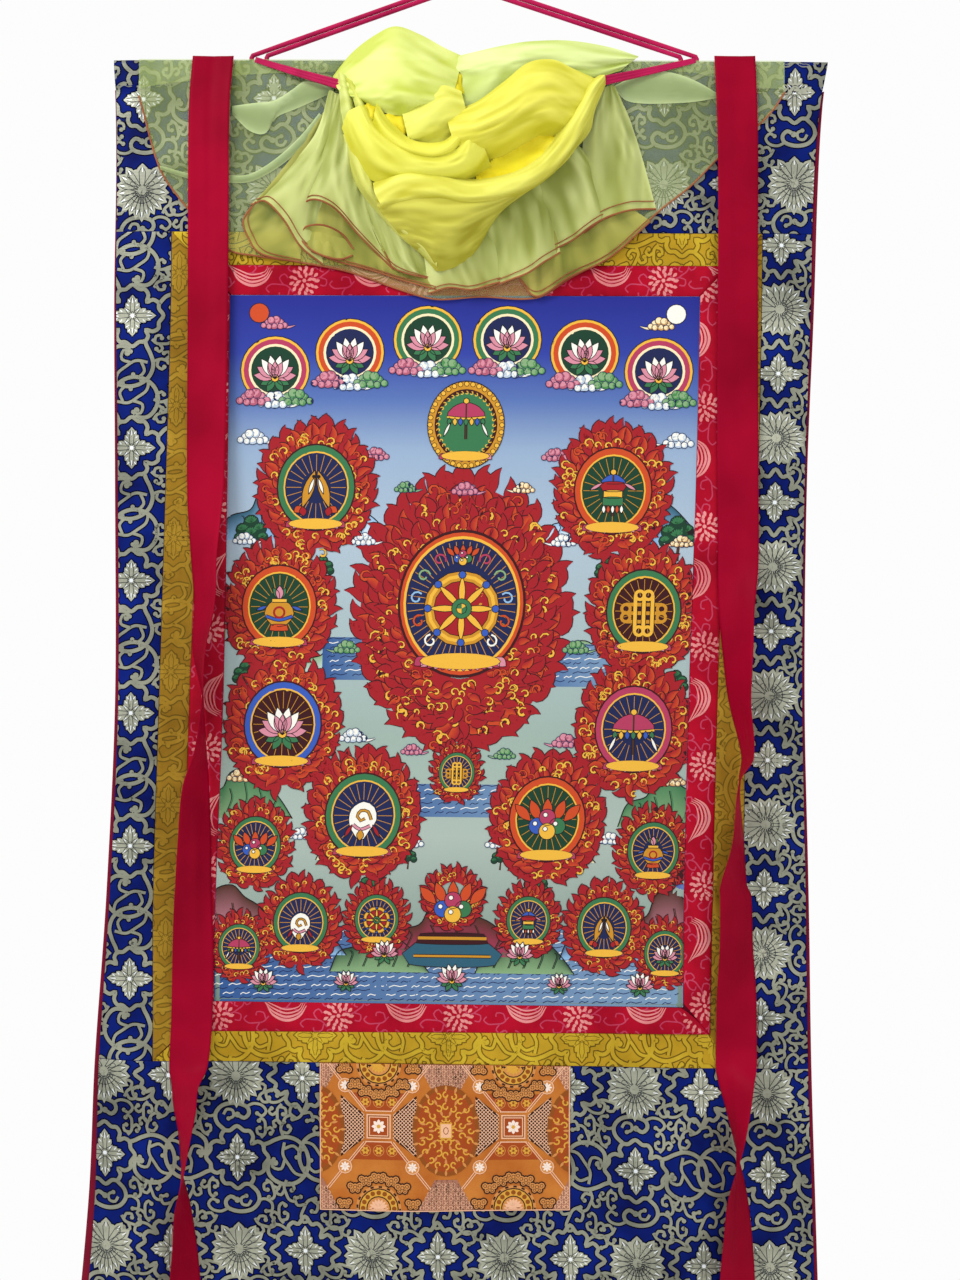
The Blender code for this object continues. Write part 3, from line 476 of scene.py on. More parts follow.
def frontOf(panel, x, y):
    # the depth of the panel's front face under flat points, read from its own grid
    u, v = x, y
    ends = mitreEnds(panel, x, y)
    if panel.get("mitre") in ("top", "bottom"):
        u = (x - ends[0]) / (ends[1] - ends[0]) * panel["width"]
    elif ends:
        v = (y - ends[0]) / (ends[1] - ends[0]) * panel["height"]
    columns, lines, front = panel["columns"], panel["lines"], panel["front"]
    i = np.clip(np.searchsorted(columns, u) - 1, 0, len(columns) - 2)
    j = np.clip(np.searchsorted(lines, v) - 1, 0, len(lines) - 2)
    s = np.clip((u - columns[i]) / (columns[i + 1] - columns[i]), 0, 1)
    t = np.clip((v - lines[j]) / (lines[j + 1] - lines[j]), 0, 1)
    upper = front[j, i] * (1 - s) + front[j, i + 1] * s
    lower = front[j + 1, i] * (1 - s) + front[j + 1, i + 1] * s
    return upper * (1 - t) + lower * t


# The woven figures are flat shapes in pattern millimetres, x to the right and y up, four corners each


def smoothPath(points, step=3.0, closed=False):
    pts = np.asarray(points, float)
    if closed:
        pts = np.vstack([pts[-1], pts, pts[0], pts[1]])
    else:
        pts = np.vstack([2 * pts[0] - pts[1], pts, 2 * pts[-1] - pts[-2]])
    out = []
    for a, b, c, d in zip(pts, pts[1:], pts[2:], pts[3:]):
        count = max(int(math.ceil(math.hypot(*(c - b)) / step)), 1)
        t = np.arange(count)[:, None] / count
        out.append(0.5 * (2 * b + (c - a) * t + (2 * a - 5 * b + 4 * c - d) * t ** 2
                          + (3 * b - a - 3 * c + d) * t ** 3))
    out.append(pts[-2][None])
    return np.vstack(out)


def stroke(path, width, closed=False):
    # a band of this width along a path, or of a width that changes from point to point
    path = np.asarray(path, float)
    if closed:
        along = np.roll(path, -1, 0) - np.roll(path, 1, 0)
        along[0] = along[-1] = path[1] - path[-2]
    else:
        along = np.gradient(path, axis=0)
    along /= np.linalg.norm(along, axis=1, keepdims=True) + 1e-9
    side = np.stack([-along[:, 1], along[:, 0]], 1) * (np.broadcast_to(width, len(path)) / 2)[:, None]
    left, right = path + side, path - side
    return np.stack([left[:-1], right[:-1], right[1:], left[1:]], 1)


def disc(x, y, radius, sides=8, tall=1.0):
    turn = np.linspace(0, 2 * np.pi, sides + 1)
    rim = np.stack([x + radius * np.cos(turn), y + radius * tall * np.sin(turn)], 1)
    middle = np.broadcast_to([x, y], (sides // 2, 2))
    return np.stack([middle, rim[:-1:2], rim[1::2], rim[2::2]], 1)


def leaf(x, y, heading, length, width, bulge=0.45, tip=1.0, steps=7):
    # a petal from its root, widest at this share of its length, with a pointed tip
    t = np.linspace(0, 1, steps)
    swell = np.where(t < bulge, np.sin(t / bulge * np.pi / 2), np.cos((t - bulge) / (1 - bulge) * np.pi / 2) ** tip)
    swell = np.maximum(swell, 0.03)
    ux, uy = math.cos(math.radians(heading)), math.sin(math.radians(heading))
    path = np.stack([x + ux * length * t, y + uy * length * t], 1)
    return stroke(path, width * swell)


def curl(x, y, heading, size, hand, turns=0.85, steps=10):
    # the path of a hook that winds inwards from a point
    start = math.radians(heading)
    cx, cy = x - math.sin(start) * size * hand, y + math.cos(start) * size * hand
    t = np.linspace(0, 1, steps)
    turn = start - hand * np.pi / 2 + hand * 2 * np.pi * turns * t
    reach = size * (1 - 0.58 * t)
    return np.stack([cx + reach * np.cos(turn), cy + reach * np.sin(turn)], 1)


def moved(quads, x=0.0, y=0.0, turn=0.0, size=1.0, mirror=False):
    c, s = math.cos(math.radians(turn)) * size, math.sin(math.radians(turn)) * size
    px = quads[..., 0] * (-1 if mirror else 1)
    return np.stack([px * c - quads[..., 1] * s + x, px * s + quads[..., 1] * c + y], -1)


def turnedAbout(path, x, y):
    return np.stack([2 * x - np.asarray(path)[..., 0], 2 * y - np.asarray(path)[..., 1]], -1)


vine = dict(repeatAcross=162.5, repeatDrop=211.0, band=4.8, curlBand=3.5, outline=1.5, sprig=17.0,
            circle=(27.0, 29.0), line=0.8, glint=1.1)
cloudLobe = [(-16.5, 17.5), (-19.5, 25), (-15.5, 32), (-8.5, 32.5), (0, 38), (8.5, 32.5), (15.5, 32), (19.5, 25)]
crownLobe = [(-17, 19), (-21, 27.5), (-15, 34), (-8, 32.5), (0, 42), (8, 32.5), (15, 34), (21, 27.5)]
sprigPaths = (
    [(-0.62, 0.1), (-0.25, -0.08), (0.15, 0.0), (0.48, 0.12), (0.62, 0.38), (0.42, 0.5)],
    [(-0.1, -0.05), (0.2, -0.3), (0.05, -0.56), (-0.18, -0.44)],
    [(-0.42, 0.02), (-0.42, 0.36), (-0.12, 0.5), (-0.02, 0.34)],
)
figureKinds = ("under", "band", "body", "line", "glint")


def quatrefoil(lobe):
    path = []
    for quarter in range(4):
        c, s = math.cos(-quarter * math.pi / 2), math.sin(-quarter * math.pi / 2)
        path += [(x * c - y * s, x * s + y * c) for x, y in lobe]
    return path


def addBand(figure, path, width, bulb=False, closed=False, step=3.2):
    path = smoothPath(path, step, closed)
    if closed:
        path = np.vstack([path, path[1:2]])
    figure["band"].append(stroke(path, width))
    figure["under"].append(stroke(path, width + 2 * vine["outline"]))
    if bulb:
        x, y = path[-1]
        figure["band"].append(disc(x, y, width * 0.78))
        figure["under"].append(disc(x, y, width * 0.78 + vine["outline"]))


def addSprig(figure, x, y, heading, size, hand=1):
    # a bent stem with three hooks
    for path in sprigPaths:
        path = moved(np.array(path) * (1, hand), x, y, heading, size)
        addBand(figure, path, vine["curlBand"] * 1.02, True, step=3.6)


def addLeaf(figure, x, y, heading, length, width, bulge=0.45, tip=1.0, ribs=(0.26, -0.26)):
    figure["body"].append(leaf(x, y, heading, length, width, bulge, tip))
    ux, uy = math.cos(math.radians(heading)), math.sin(math.radians(heading))
    edge = vine["outline"]
    figure["under"].append(leaf(x - ux * edge, y - uy * edge, heading, length + 2.2 * edge, width + 2 * edge, bulge,
                                tip))
    reach = np.array([0.15, bulge, 0.84])
    for off in ribs:
        swell = width * off * np.array([0.7, 1.0, 0.3])
        path = np.stack([x + ux * length * reach - uy * swell, y + uy * length * reach + ux * swell], 1)
        figure["line"].append(stroke(path, vine["line"]))
    # a glint along the petal's middle: a painted highlight
    path = np.stack([x + ux * length * reach[1:], y + uy * length * reach[1:]], 1)
    figure["glint"].append(stroke(path, vine["glint"]))


def addCross(figure, x, y, tall, wide):
    for k in range(4):
        reach, heading = (tall if k % 2 else wide), 90 * k
        ux, uy = math.cos(math.radians(heading)), math.sin(math.radians(heading))
        for hand in (-1, 1):
            addLeaf(figure, x + ux * reach * 0.3, y + uy * reach * 0.3, heading + hand * 48, 11.5, 8.5, 0.55, 0.7, ())
            addLeaf(figure, x + ux * reach * 0.52, y + uy * reach * 0.52, heading + hand * 38, 9.5, 6.5, 0.5, 0.8, ())
        addLeaf(figure, x, y, heading, reach, 11.5, 0.6, 0.85)
        addLeaf(figure, x, y, 45 + 90 * k, 14.0, 8.0, 0.55, 0.9)
    figure["body"].append(disc(x, y, 7.5))
    figure["line"].append(stroke(disc(x, y, 5.0)[:, 1:3].reshape(-1, 2), vine["line"]))
    # a glint dot at the middle: a painted highlight
    figure["glint"].append(disc(x, y, 2.6))


def addLotus(figure, x, y):
    figure["body"].append(disc(x, y + 1, 25, 16, 1.06))
    figure["under"].append(disc(x, y + 1, 26.3, 16, 1.06))
    for heading, length, width in ((-62, 34, 10), (-44, 35, 10), (-26, 35, 12), (-6, 34, 13), (14, 34, 13),
                                   (34, 36, 13), (54, 36, 12)):
        addLeaf(figure, x, y, heading, length, width, 0.68, 0.8)
        addLeaf(figure, x, y, 180 - heading, length, width, 0.68, 0.8)
    for heading, length in ((-77, 36), (-90, 39), (-103, 36), (90, 33)):
        addLeaf(figure, x, y, heading, length, 10 if heading < 0 else 16, 0.68, 0.85)
    for hand in (-1, 1):
        for rise, turn in ((26, 60), (15, 20), (2, -10)):
            path = moved(np.array([(0, 0), (5, 2), (7, -2), (4, -4)]) * (hand, 1), x + hand * (rise * 0.3 + 4),
                         y + rise - 6)
            figure["line"].append(stroke(smoothPath(path, 3.0), vine["line"]))
    for reach in (10, 17):
        figure["line"].append(stroke(smoothPath([(x + reach * math.cos(a), y + 1 + reach * math.sin(a))
                                                 for a in np.linspace(-2.6, -0.5, 7)], 4.0), vine["line"]))


def brocadeUnit():
    # one repeat: a cross in a round cloud, two linked vine circles, a lotus, and a cross in a crowned cloud
    figure = {kind: [] for kind in figureKinds}
    wide, band = vine["repeatAcross"], vine["band"]
    addBand(figure, quatrefoil(cloudLobe), band, closed=True)
    addCross(figure, 0, 0, 29, 25.5)
    rx, ry = vine["circle"]
    ring = [(29, 15), (38, 18)] + [(60 + rx * math.cos(a), -3 + ry * math.sin(a))
                                   for a in np.radians([118, 90, 60, 30, 0, -30, -60, -90, -118, -142])]
    ring += [(37, -12), (40, -4), (46, -6)]
    above = [(-15, 33), (-24, 42), (-25.5, 53), (-17, 63), (-2, 66), (12, 62), (15, 54), (9, 48), (1, 52)]
    rightHook = [(12, 62), (21, 66), (31, 64), (36, 57), (31, 51), (25, 54)]
    leftHook = [(-25, 52), (-33, 50), (-41, 55), (-41, 64), (-34, 65)]
    inner = [(-16, 52), (-12, 58), (-5, 57), (-4, 50), (-10, 47)]
    for path, narrow in ((ring, 0), (above, 0), (rightHook, 1), (leftHook, 1), (inner, 1)):
        for turned in (False, True):
            if turned:
                path = turnedAbout(path, *((wide / 2, 0) if path is ring else (0, 0)))
            addBand(figure, path, vine["curlBand"] if narrow else band, True)
    for x, y, heading, size, hand in ((61, -3, -72, 2.1, 1), (34, 35, 75, 1.1, 1), (56, 41, 80, 1.25, -1),
                                      (80, 58, 50, 1.6, 1), (-42, 36, 120, 1.15, -1), (104, 40, 95, 1.25, 1),
                                      (-30, 82, 150, 1.2, 1), (36, 80, 35, 1.3, -1)):
        addSprig(figure, x, y, heading, vine["sprig"] * size, hand)
        middle = wide / 2 if abs(y) < 10 else 0.0
        addSprig(figure, 2 * middle - x, -y, heading + 180, vine["sprig"] * size, hand)
    lotusUp = 99.0
    addLotus(figure, 0, lotusUp)
    addBand(figure, moved(np.array(quatrefoil(crownLobe)), wide / 2, lotusUp), band, closed=True)
    addCross(figure, wide / 2, lotusUp, 30.5, 25.5)
    for hand in (-1, 1):
        for rise in (-1, 1):
            heading = math.degrees(math.atan2(rise, hand))
            addBand(figure, [(wide / 2 + hand * x, lotusUp + rise * y) for x, y in
                             ((19, 22), (30, 30), (41, 30), (45, 20), (38, 16))], vine["curlBand"], True)
            addSprig(figure, wide / 2 + hand * 31, lotusUp + rise * 44, heading + 30 * hand * rise,
                     vine["sprig"] * 1.15, hand * rise)
    return {kind: np.concatenate(parts) for kind, parts in figure.items()}


def toFlat(panel, across, drop):
    left, right = (seamAcross(name, drop) for name in panel["seams"])
    top, low = (rowDrop(name, across) for name in panel["rows"])
    return (across - left) / (right - left) * panel["width"], (drop - top) / (low - top) * panel["height"]


def clipLines(panel):
    # the panel's own edges, as lines that keep what is on their inner side
    width, height, gap = panel["width"], panel["height"], 0.35
    left, right, top, low = mitreWidths.get(panel["colour"], (0, 0, 0, 0))
    kind = panel.get("mitre")
    lines = [(1, 0, gap), (-1, 0, gap - width), (0, 1, gap), (0, -1, gap - height)]
    if kind == "top":
        lines += [(1, -left / height, gap), (-1, -right / height, gap - width)]
    elif kind == "bottom":
        lines += [(1, left / height, left + gap), (-1, right / height, right + gap - width)]
    elif kind == "left":
        lines += [(-top / width, 1, gap), (-low / width, -1, gap - height)]
    elif kind == "right":
        lines += [(top / width, 1, top + gap), (low / width, -1, low + gap - height)]
    return lines


def clipQuads(quads, lines, marks=None):
    marks = np.zeros(len(quads), int) if marks is None else marks
    for nx, ny, c in lines:
        side = quads[..., 0] * nx + quads[..., 1] * ny - c
        inside = (side >= 0).all(1)
        cut = (side > 0).any(1) & ~inside
        pieces, kept = [], []
        for quad, off, mark in zip(quads[cut], side[cut], marks[cut]):
            ring = []
            for k in range(4):
                p, q, a, b = quad[k], quad[(k + 1) % 4], off[k], off[(k + 1) % 4]
                if a >= 0:
                    ring.append(p)
                if (a >= 0) != (b >= 0):
                    ring.append(p + (q - p) * (a / (a - b)))
            for m in range(1, len(ring) - 1, 2):
                pieces.append([ring[0], ring[m], ring[m + 1], ring[min(m + 2, len(ring) - 1)]])
                kept.append(mark)
        quads, marks = quads[inside], marks[inside]
        if pieces:
            quads, marks = np.concatenate([quads, np.array(pieces)]), np.concatenate([marks, kept])
    return quads, marks


def refined(quads, dyes, limit=6.5):
    # large shapes are split until each part is small enough to follow the cloth
    done = []
    while True:
        across = np.maximum(np.linalg.norm(quads[:, 1] - quads[:, 0], axis=1),
                            np.linalg.norm(quads[:, 2] - quads[:, 3], axis=1))
        down = np.maximum(np.linalg.norm(quads[:, 3] - quads[:, 0], axis=1),
                          np.linalg.norm(quads[:, 2] - quads[:, 1], axis=1))
        large = np.maximum(across, down) > limit
        done.append((quads[~large], dyes[~large]))
        if not large.any():
            return tuple(np.concatenate(x) for x in zip(*done))
        sideways = (across >= down)[large]
        parts = []
        for values in (quads[large], dyes[large]):
            turned = np.where(sideways[:, None, None], values, np.roll(values, -1, axis=1))
            a, b, c, d = (turned[:, k] for k in range(4))
            top, low = (a + b) / 2, (c + d) / 2
            parts.append(np.concatenate([np.stack([a, top, low, d], 1), np.stack([top, b, c, low], 1)]))
        quads, dyes = parts


class Inks:
    # flat shapes gathered for one panel, each with its material and how far it lies above the cloth
    def __init__(self, panel):
        self.panel, self.quads, self.lifts, self.inks = panel, [], [], []

    def add(self, quads, ink, lift, origin, xAxis, yAxis):
        # pattern millimetres to the cloth, then cut off at the panel's edges
        across = origin[0] + quads[..., 0] * xAxis[0] + quads[..., 1] * yAxis[0]
        drop = origin[1] + quads[..., 0] * xAxis[1] + quads[..., 1] * yAxis[1]
        flat = np.stack(toFlat(self.panel, across, drop), -1)
        near = ((flat[..., 0].max(1) > 0) & (flat[..., 0].min(1) < self.panel["width"])
                & (flat[..., 1].max(1) > 0) & (flat[..., 1].min(1) < self.panel["height"]))
        flat = refined(flat[near], flat[near], 9.0)[0]
        flat = clipQuads(flat, clipLines(self.panel))[0]
        self.quads.append(flat)
        self.lifts.append(np.full(len(flat), lift))
        self.inks.append(np.full(len(flat), ink))

    def build(self, name, inkMaterials):
        quads, lifts, inks = (np.concatenate(x) for x in (self.quads, self.lifts, self.inks))
        keys = np.concatenate([quads.reshape(-1, 2).round(3), np.repeat(lifts, 4)[:, None]], 1)
        places, which = np.unique(keys, axis=0, return_inverse=True)
        corners = which.reshape(-1, 4)
        faces, kept = [], []
        for corner, ink in zip(corners.tolist(), inks.tolist()):
            ring = [c for k, c in enumerate(corner) if c != corner[k - 1]]
            if len(set(ring)) == len(ring) and len(ring) > 2:
                faces.append(ring)
                kept.append(ink)
        across, drop = toCloth(self.panel, places[:, 0], places[:, 1])
        depth = frontOf(self.panel, places[:, 0], places[:, 1]) + places[:, 2]
        piece = meshPiece(name, at(across, drop, depth), faces, inkMaterials[0], False)
        for material in inkMaterials[1:]:
            piece.data.materials.append(material)
        piece.data.polygons.foreach_set("material_index", kept)
        piece.data.shade_smooth()
        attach(piece, "root")
        self.panel["trims"].append(piece)
        return piece


def layRepeat(panelName, unit, origin, xAxis, yAxis, inkOrder, lifts, spacing=(None, None), size=1.0):
    # the repeat, all over one panel
    panel = panels[panelName]
    inks = Inks(panel)
    stepX, stepY = spacing[0] or vine["repeatAcross"], spacing[1] or vine["repeatDrop"]
    low, high = (0, 0), (panel["width"], panel["height"])
    corners = np.array([toCloth(panel, x, y) for x in (low[0], high[0]) for y in (low[1], high[1])], float)
    basis = np.array([xAxis, yAxis], float).T
    inPattern = np.linalg.solve(basis, (corners - np.array(origin)).T)
    first = np.floor(inPattern.min(1) / (stepX, stepY)).astype(int) - 1
    last = np.ceil(inPattern.max(1) / (stepX, stepY)).astype(int) + 1
    for kind, quads in unit.items():
        if kind not in inkOrder:
            continue
        for i in range(first[0], last[0] + 1):
            for j in range(first[1], last[1] + 1):
                shifted = quads * size + np.array([i * stepX, j * stepY])
                inks.add(shifted, inkOrder.index(kind), lifts[inkOrder.index(kind)], origin, xAxis, yAxis)
    return inks


def weave(panelName, unit, inkNames, lifts, suffix="_figure", **layout):
    inks = layRepeat(panelName, unit, inkOrder=figureKinds, lifts=lifts, **layout)
    piece = inks.build(panelName + suffix, [materials[name] for name in inkNames])
    print(piece.name, len(piece.data.polygons))


blueLayout = {
    "brocade_top": dict(origin=(-395.3, 356.4), xAxis=(0.980, -0.011), yAxis=(0.011, -1.0)),
    "brocade_bottom": dict(origin=(-277.6, 1437.2), xAxis=(0.996, 0.033), yAxis=(-0.017, -1.003)),
    "brocade_left": dict(origin=(-406.0, 410.4), xAxis=(-0.003, 0.995), yAxis=(1.0, 0.0)),
    "brocade_right": dict(origin=(483.0, 406.0), xAxis=(0.027, -0.966), yAxis=(-1.0, -0.027)),
}
goldLayout = {
    "gold_top": dict(origin=(-60.0, 300.0), xAxis=(1.0, 0.0), yAxis=(0.0, -1.0)),
    "gold_bottom": dict(origin=(-20.0, 1290.0), xAxis=(1.0, 0.012), yAxis=(0.0, -1.0)),
    "gold_left": dict(origin=(-352.0, 520.0), xAxis=(-0.02, 1.0), yAxis=(1.0, 0.0)),
    "gold_right": dict(origin=(352.0, 560.0), xAxis=(0.02, -1.0), yAxis=(-1.0, 0.0)),
}
blueUnit = brocadeUnit()
goldUnit = {kind: quads for kind, quads in blueUnit.items() if kind != "glint"}
# on the blue, the navy under-layer round each figure is painted shadow beside the raised silver thread
for name, layout in blueLayout.items():
    weave(name, blueUnit, ("navy", "band", "silver", "tarnish", "bright"), (0.12, 0.22, 0.3, 0.38, 0.38), **layout)
for name, layout in goldLayout.items():
    # the side strips' figures take the darker copy too, as painted shade
    band = "goldShadedSideBand" if "cloth" in panels[name] else "goldBand"
    weave(name, goldUnit, ("olive", band, band, "olive"), (0.12, 0.22, 0.3, 0.38), **layout)
print("brocade woven")


def redUnit():
    # tone on tone clouds, a round blossom and a curved plume
    figure = {kind: [] for kind in figureKinds}
    for x, y, heading, size, hand in ((20, 6, 20, 24, 1), (48, -8, 200, 24, -1), (84, 8, 10, 22, -1),
                                      (118, -6, 160, 26, 1), (30, 22, 190, 20, 1), (100, 24, 40, 20, 1),
                                      (-4, -24, 60, 20, -1), (60, -28, 0, 22, 1), (128, 22, 200, 20, -1)):
        for path in sprigPaths:
            figure["under"].append(stroke(smoothPath(moved(np.array(path) * (1, hand), x, y, heading, size), 4.0), 1.7))
    for ring, count, reach in ((0, 6, 5.0), (1, 9, 11.0), (2, 13, 17.0)):
        for k in range(count):
            turn = 360 * (k + ring * 0.37) / count
            ux, uy = math.cos(math.radians(turn)), math.sin(math.radians(turn))
            figure["band"].append(leaf(reach * ux * 0.72, reach * uy * 0.72, turn + 24 * (-1) ** ring, 7.2, 4.0, 0.6,
                                       0.7, 5))
    figure["body"].append(disc(0, 0, 2.6, 6))
    for k, width in enumerate((3.4, 2.6, 2.2, 1.8)):
        path = smoothPath([(58 - k * 2, 14 + k * 2), (66, 1 + k * 4), (82, -6 + k * 4.4), (98, -1 + k * 4),
                           (107 - k * 2, 12 + k * 2)], 4.0)
        figure["band"].append(stroke(path, width * np.sin(np.linspace(0.25, 2.9, len(path)))))
    return {kind: np.concatenate(parts) if parts else np.zeros((0, 4, 2)) for kind, parts in figure.items()}


redLayout = {
    "red_top": dict(origin=(-50.0, 368.0), xAxis=(1.0, 0.0), yAxis=(0.0, -1.0)),
    "red_bottom": dict(origin=(-154.0, 1264.0), xAxis=(1.0, 0.006), yAxis=(0.0, -1.0)),
    "red_left": dict(origin=(-306.0, 500.0), xAxis=(-0.02, 1.0), yAxis=(1.0, 0.0)),
    "red_right": dict(origin=(292.0, 960.0), xAxis=(0.0, -1.0), yAxis=(-1.0, 0.0)),
}
crimsonUnit = redUnit()
for name, layout in redLayout.items():
    weave(name, crimsonUnit, ("rose", "salmon", "salmon"), (0.12, 0.24, 0.3, 0.3, 0.3), spacing=(146.0, 62.0), **layout)
print("damask woven")


def paintedMaterial(name, roughness, metallic, pitch, depth, shade=0.3, alpha=None):
    # cloth whose colours are laid on face by face, with its threads over them
    material, tree = newMaterial(name)
    place = addNode(tree, "ShaderNodeTexCoord").outputs["Object"]
    threads, normal = weaveBump(tree, place, pitch, depth)
    colour = addNode(tree, "ShaderNodeVertexColor", layer_name="dye").outputs["Color"]
    both = addNode(tree, "ShaderNodeMix", data_type="RGBA", blend_type="MULTIPLY")
    both.inputs[0].default_value = shade
    tree.links.new(colour, both.inputs[6])
    tree.links.new(threads, both.inputs[7])
    shader = addNode(tree, "ShaderNodeBsdfPrincipled", {"Roughness": roughness, "Metallic": metallic,
                                                       "Specular IOR Level": 0.2},
                     {"Base Color": both.outputs[2], "Normal": normal})
    if alpha is not None:
        shader.inputs["Alpha"].default_value = alpha
    addNode(tree, "ShaderNodeOutputMaterial", None, {"Surface": shader.outputs["BSDF"]})
    return material


materials["printed"] = paintedMaterial("cotton canvas, painted and printed", 0.6, 0.0, 1.0, 0.1)
materials["doorSilk"] = paintedMaterial("silk brocade, woven in many colours", 0.45, 0.1, 1.2, 0.15)
# Sheer silk looks lighter or deeper by how many layers lie behind it, and its colour also follows the folds as painted
# shade in the creases and painted highlight on the ridges
materials["organzaPleat"] = paintedMaterial("silk organza, pleated", 0.5, 0.0, 1.0, 0.05, 0.1, 0.7)
materials["organzaFold"] = paintedMaterial("silk organza, folded many times", 0.55, 0.0, 1.0, 0.05, 0.1, 0.95)
# the skin behind the folds: a deep yellow as painted shade in the scoops
materials["organzaDeep"] = paintedMaterial("silk organza, painted shade deep in the folds", 0.5, 0.0, 1.0, 0.05, 0.1)


def fan(rim, middle=None):
    # a filled outline of an even number of points, from its middle
    rim = np.asarray(rim, float)
    rim = rim if len(rim) % 2 == 0 else np.vstack([rim, rim[:1]])
    middle = rim.mean(0) if middle is None else middle
    after = np.vstack([rim[2::2], rim[:1]])
    return np.stack([np.broadcast_to(middle, after.shape), rim[::2], rim[1::2], after], 1)


def box(left, top, right, low):
    return np.array([[(left, top), (right, top), (right, low), (left, low)]], float)


def ringPath(x, y, radius, sides=16, tall=1.0, start=0.0, end=360.0):
    turn = np.radians(np.linspace(start, end, sides + 1))
    return np.stack([x + radius * np.cos(turn), y + radius * tall * np.sin(turn)], 1)


def tongue(x, y, heading, length, width, bend):
    # a lick of flame, which bends as it tapers
    turn = np.radians(heading + bend * np.linspace(0, 1, 6))
    steps = np.stack([np.cos(turn), np.sin(turn)], 1) * length / 6
    path = np.array([x, y]) + np.cumsum(steps, 0) - steps[0]
    return stroke(path, width * np.array([0.5, 0.95, 1.0, 0.78, 0.42, 0.04]))


class Paint:
    # coloured flat shapes for one panel, in flat millimetres with y down, each level a little further forward
    def __init__(self, panel, gap=0.0):
        self.panel, self.gap, self.quads, self.lifts, self.dyes = panel, gap, [], [], []

    def add(self, quads, colour, level, far=None):
        # with a second colour, it shades from each shape's first edge to its other
        quads = np.asarray(quads, float)
        if isinstance(colour, str):
            near, other = hexColour(colour), hexColour(far or colour)
            dyes = np.broadcast_to(np.array([near, other, other, near]), (len(quads), 4, 4))
        else:
            dyes = colour
        quads, dyes = refined(quads, np.asarray(dyes, float), 9.2)
        self.quads.append(quads)
        self.lifts.append(np.full(len(quads), 0.2 + 0.045 * level))
        self.dyes.append(dyes)

    def line(self, path, width, colour, level):
        self.add(stroke(path, width), colour, level)

    def build(self, name, material):
        quads, lifts, dyes = (np.concatenate(x) for x in (self.quads, self.lifts, self.dyes))
        quads, which = clipQuads(quads, clipLines(self.panel), np.arange(len(quads)))
        lifts, dyes = lifts[which], dyes[which]
        keys = np.concatenate([quads.reshape(-1, 2).round(3), np.repeat(lifts, 4)[:, None]], 1)
        places, corners = np.unique(keys, axis=0, return_inverse=True)
        faces, loops = [], []
        for corner, dye in zip(corners.reshape(-1, 4).tolist(), dyes):
            kept = [k for k in range(4) if corner[k] != corner[k - 1]]
            ring = [corner[k] for k in kept]
            if len(set(ring)) == len(ring) and len(ring) > 2:
                faces.append(ring[::-1])
                loops.append(dye[kept[::-1]])
        across, drop = toCloth(self.panel, places[:, 0], places[:, 1])
        depth = frontOf(self.panel, places[:, 0], places[:, 1]) + places[:, 2]
        piece = meshPiece(name, at(across, drop, depth), faces, material, False)
        layer = piece.data.color_attributes.new("dye", "FLOAT_COLOR", "CORNER")
        layer.data.foreach_set("color", np.concatenate(loops).ravel())
        piece.data.shade_smooth()
        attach(piece, "root")
        self.panel["trims"].append(piece)
        print(name, len(faces))
        return piece


# The door patch, on a chart whose unit is this many millimetres
doorChart = dict(left=105, top=130, cell=0.2256)
doorDyes = dict(warm="#d08a48", pale="#eeb894", white="#f6e2d4", dark="#2e120a", brown="#8e4a0c",
                gold="#d8a038", mauve="#a8705a", rust="#a2440e")


def doorAt(*points):
    return (np.array(points, float) - (doorChart["left"], doorChart["top"])) * doorChart["cell"]


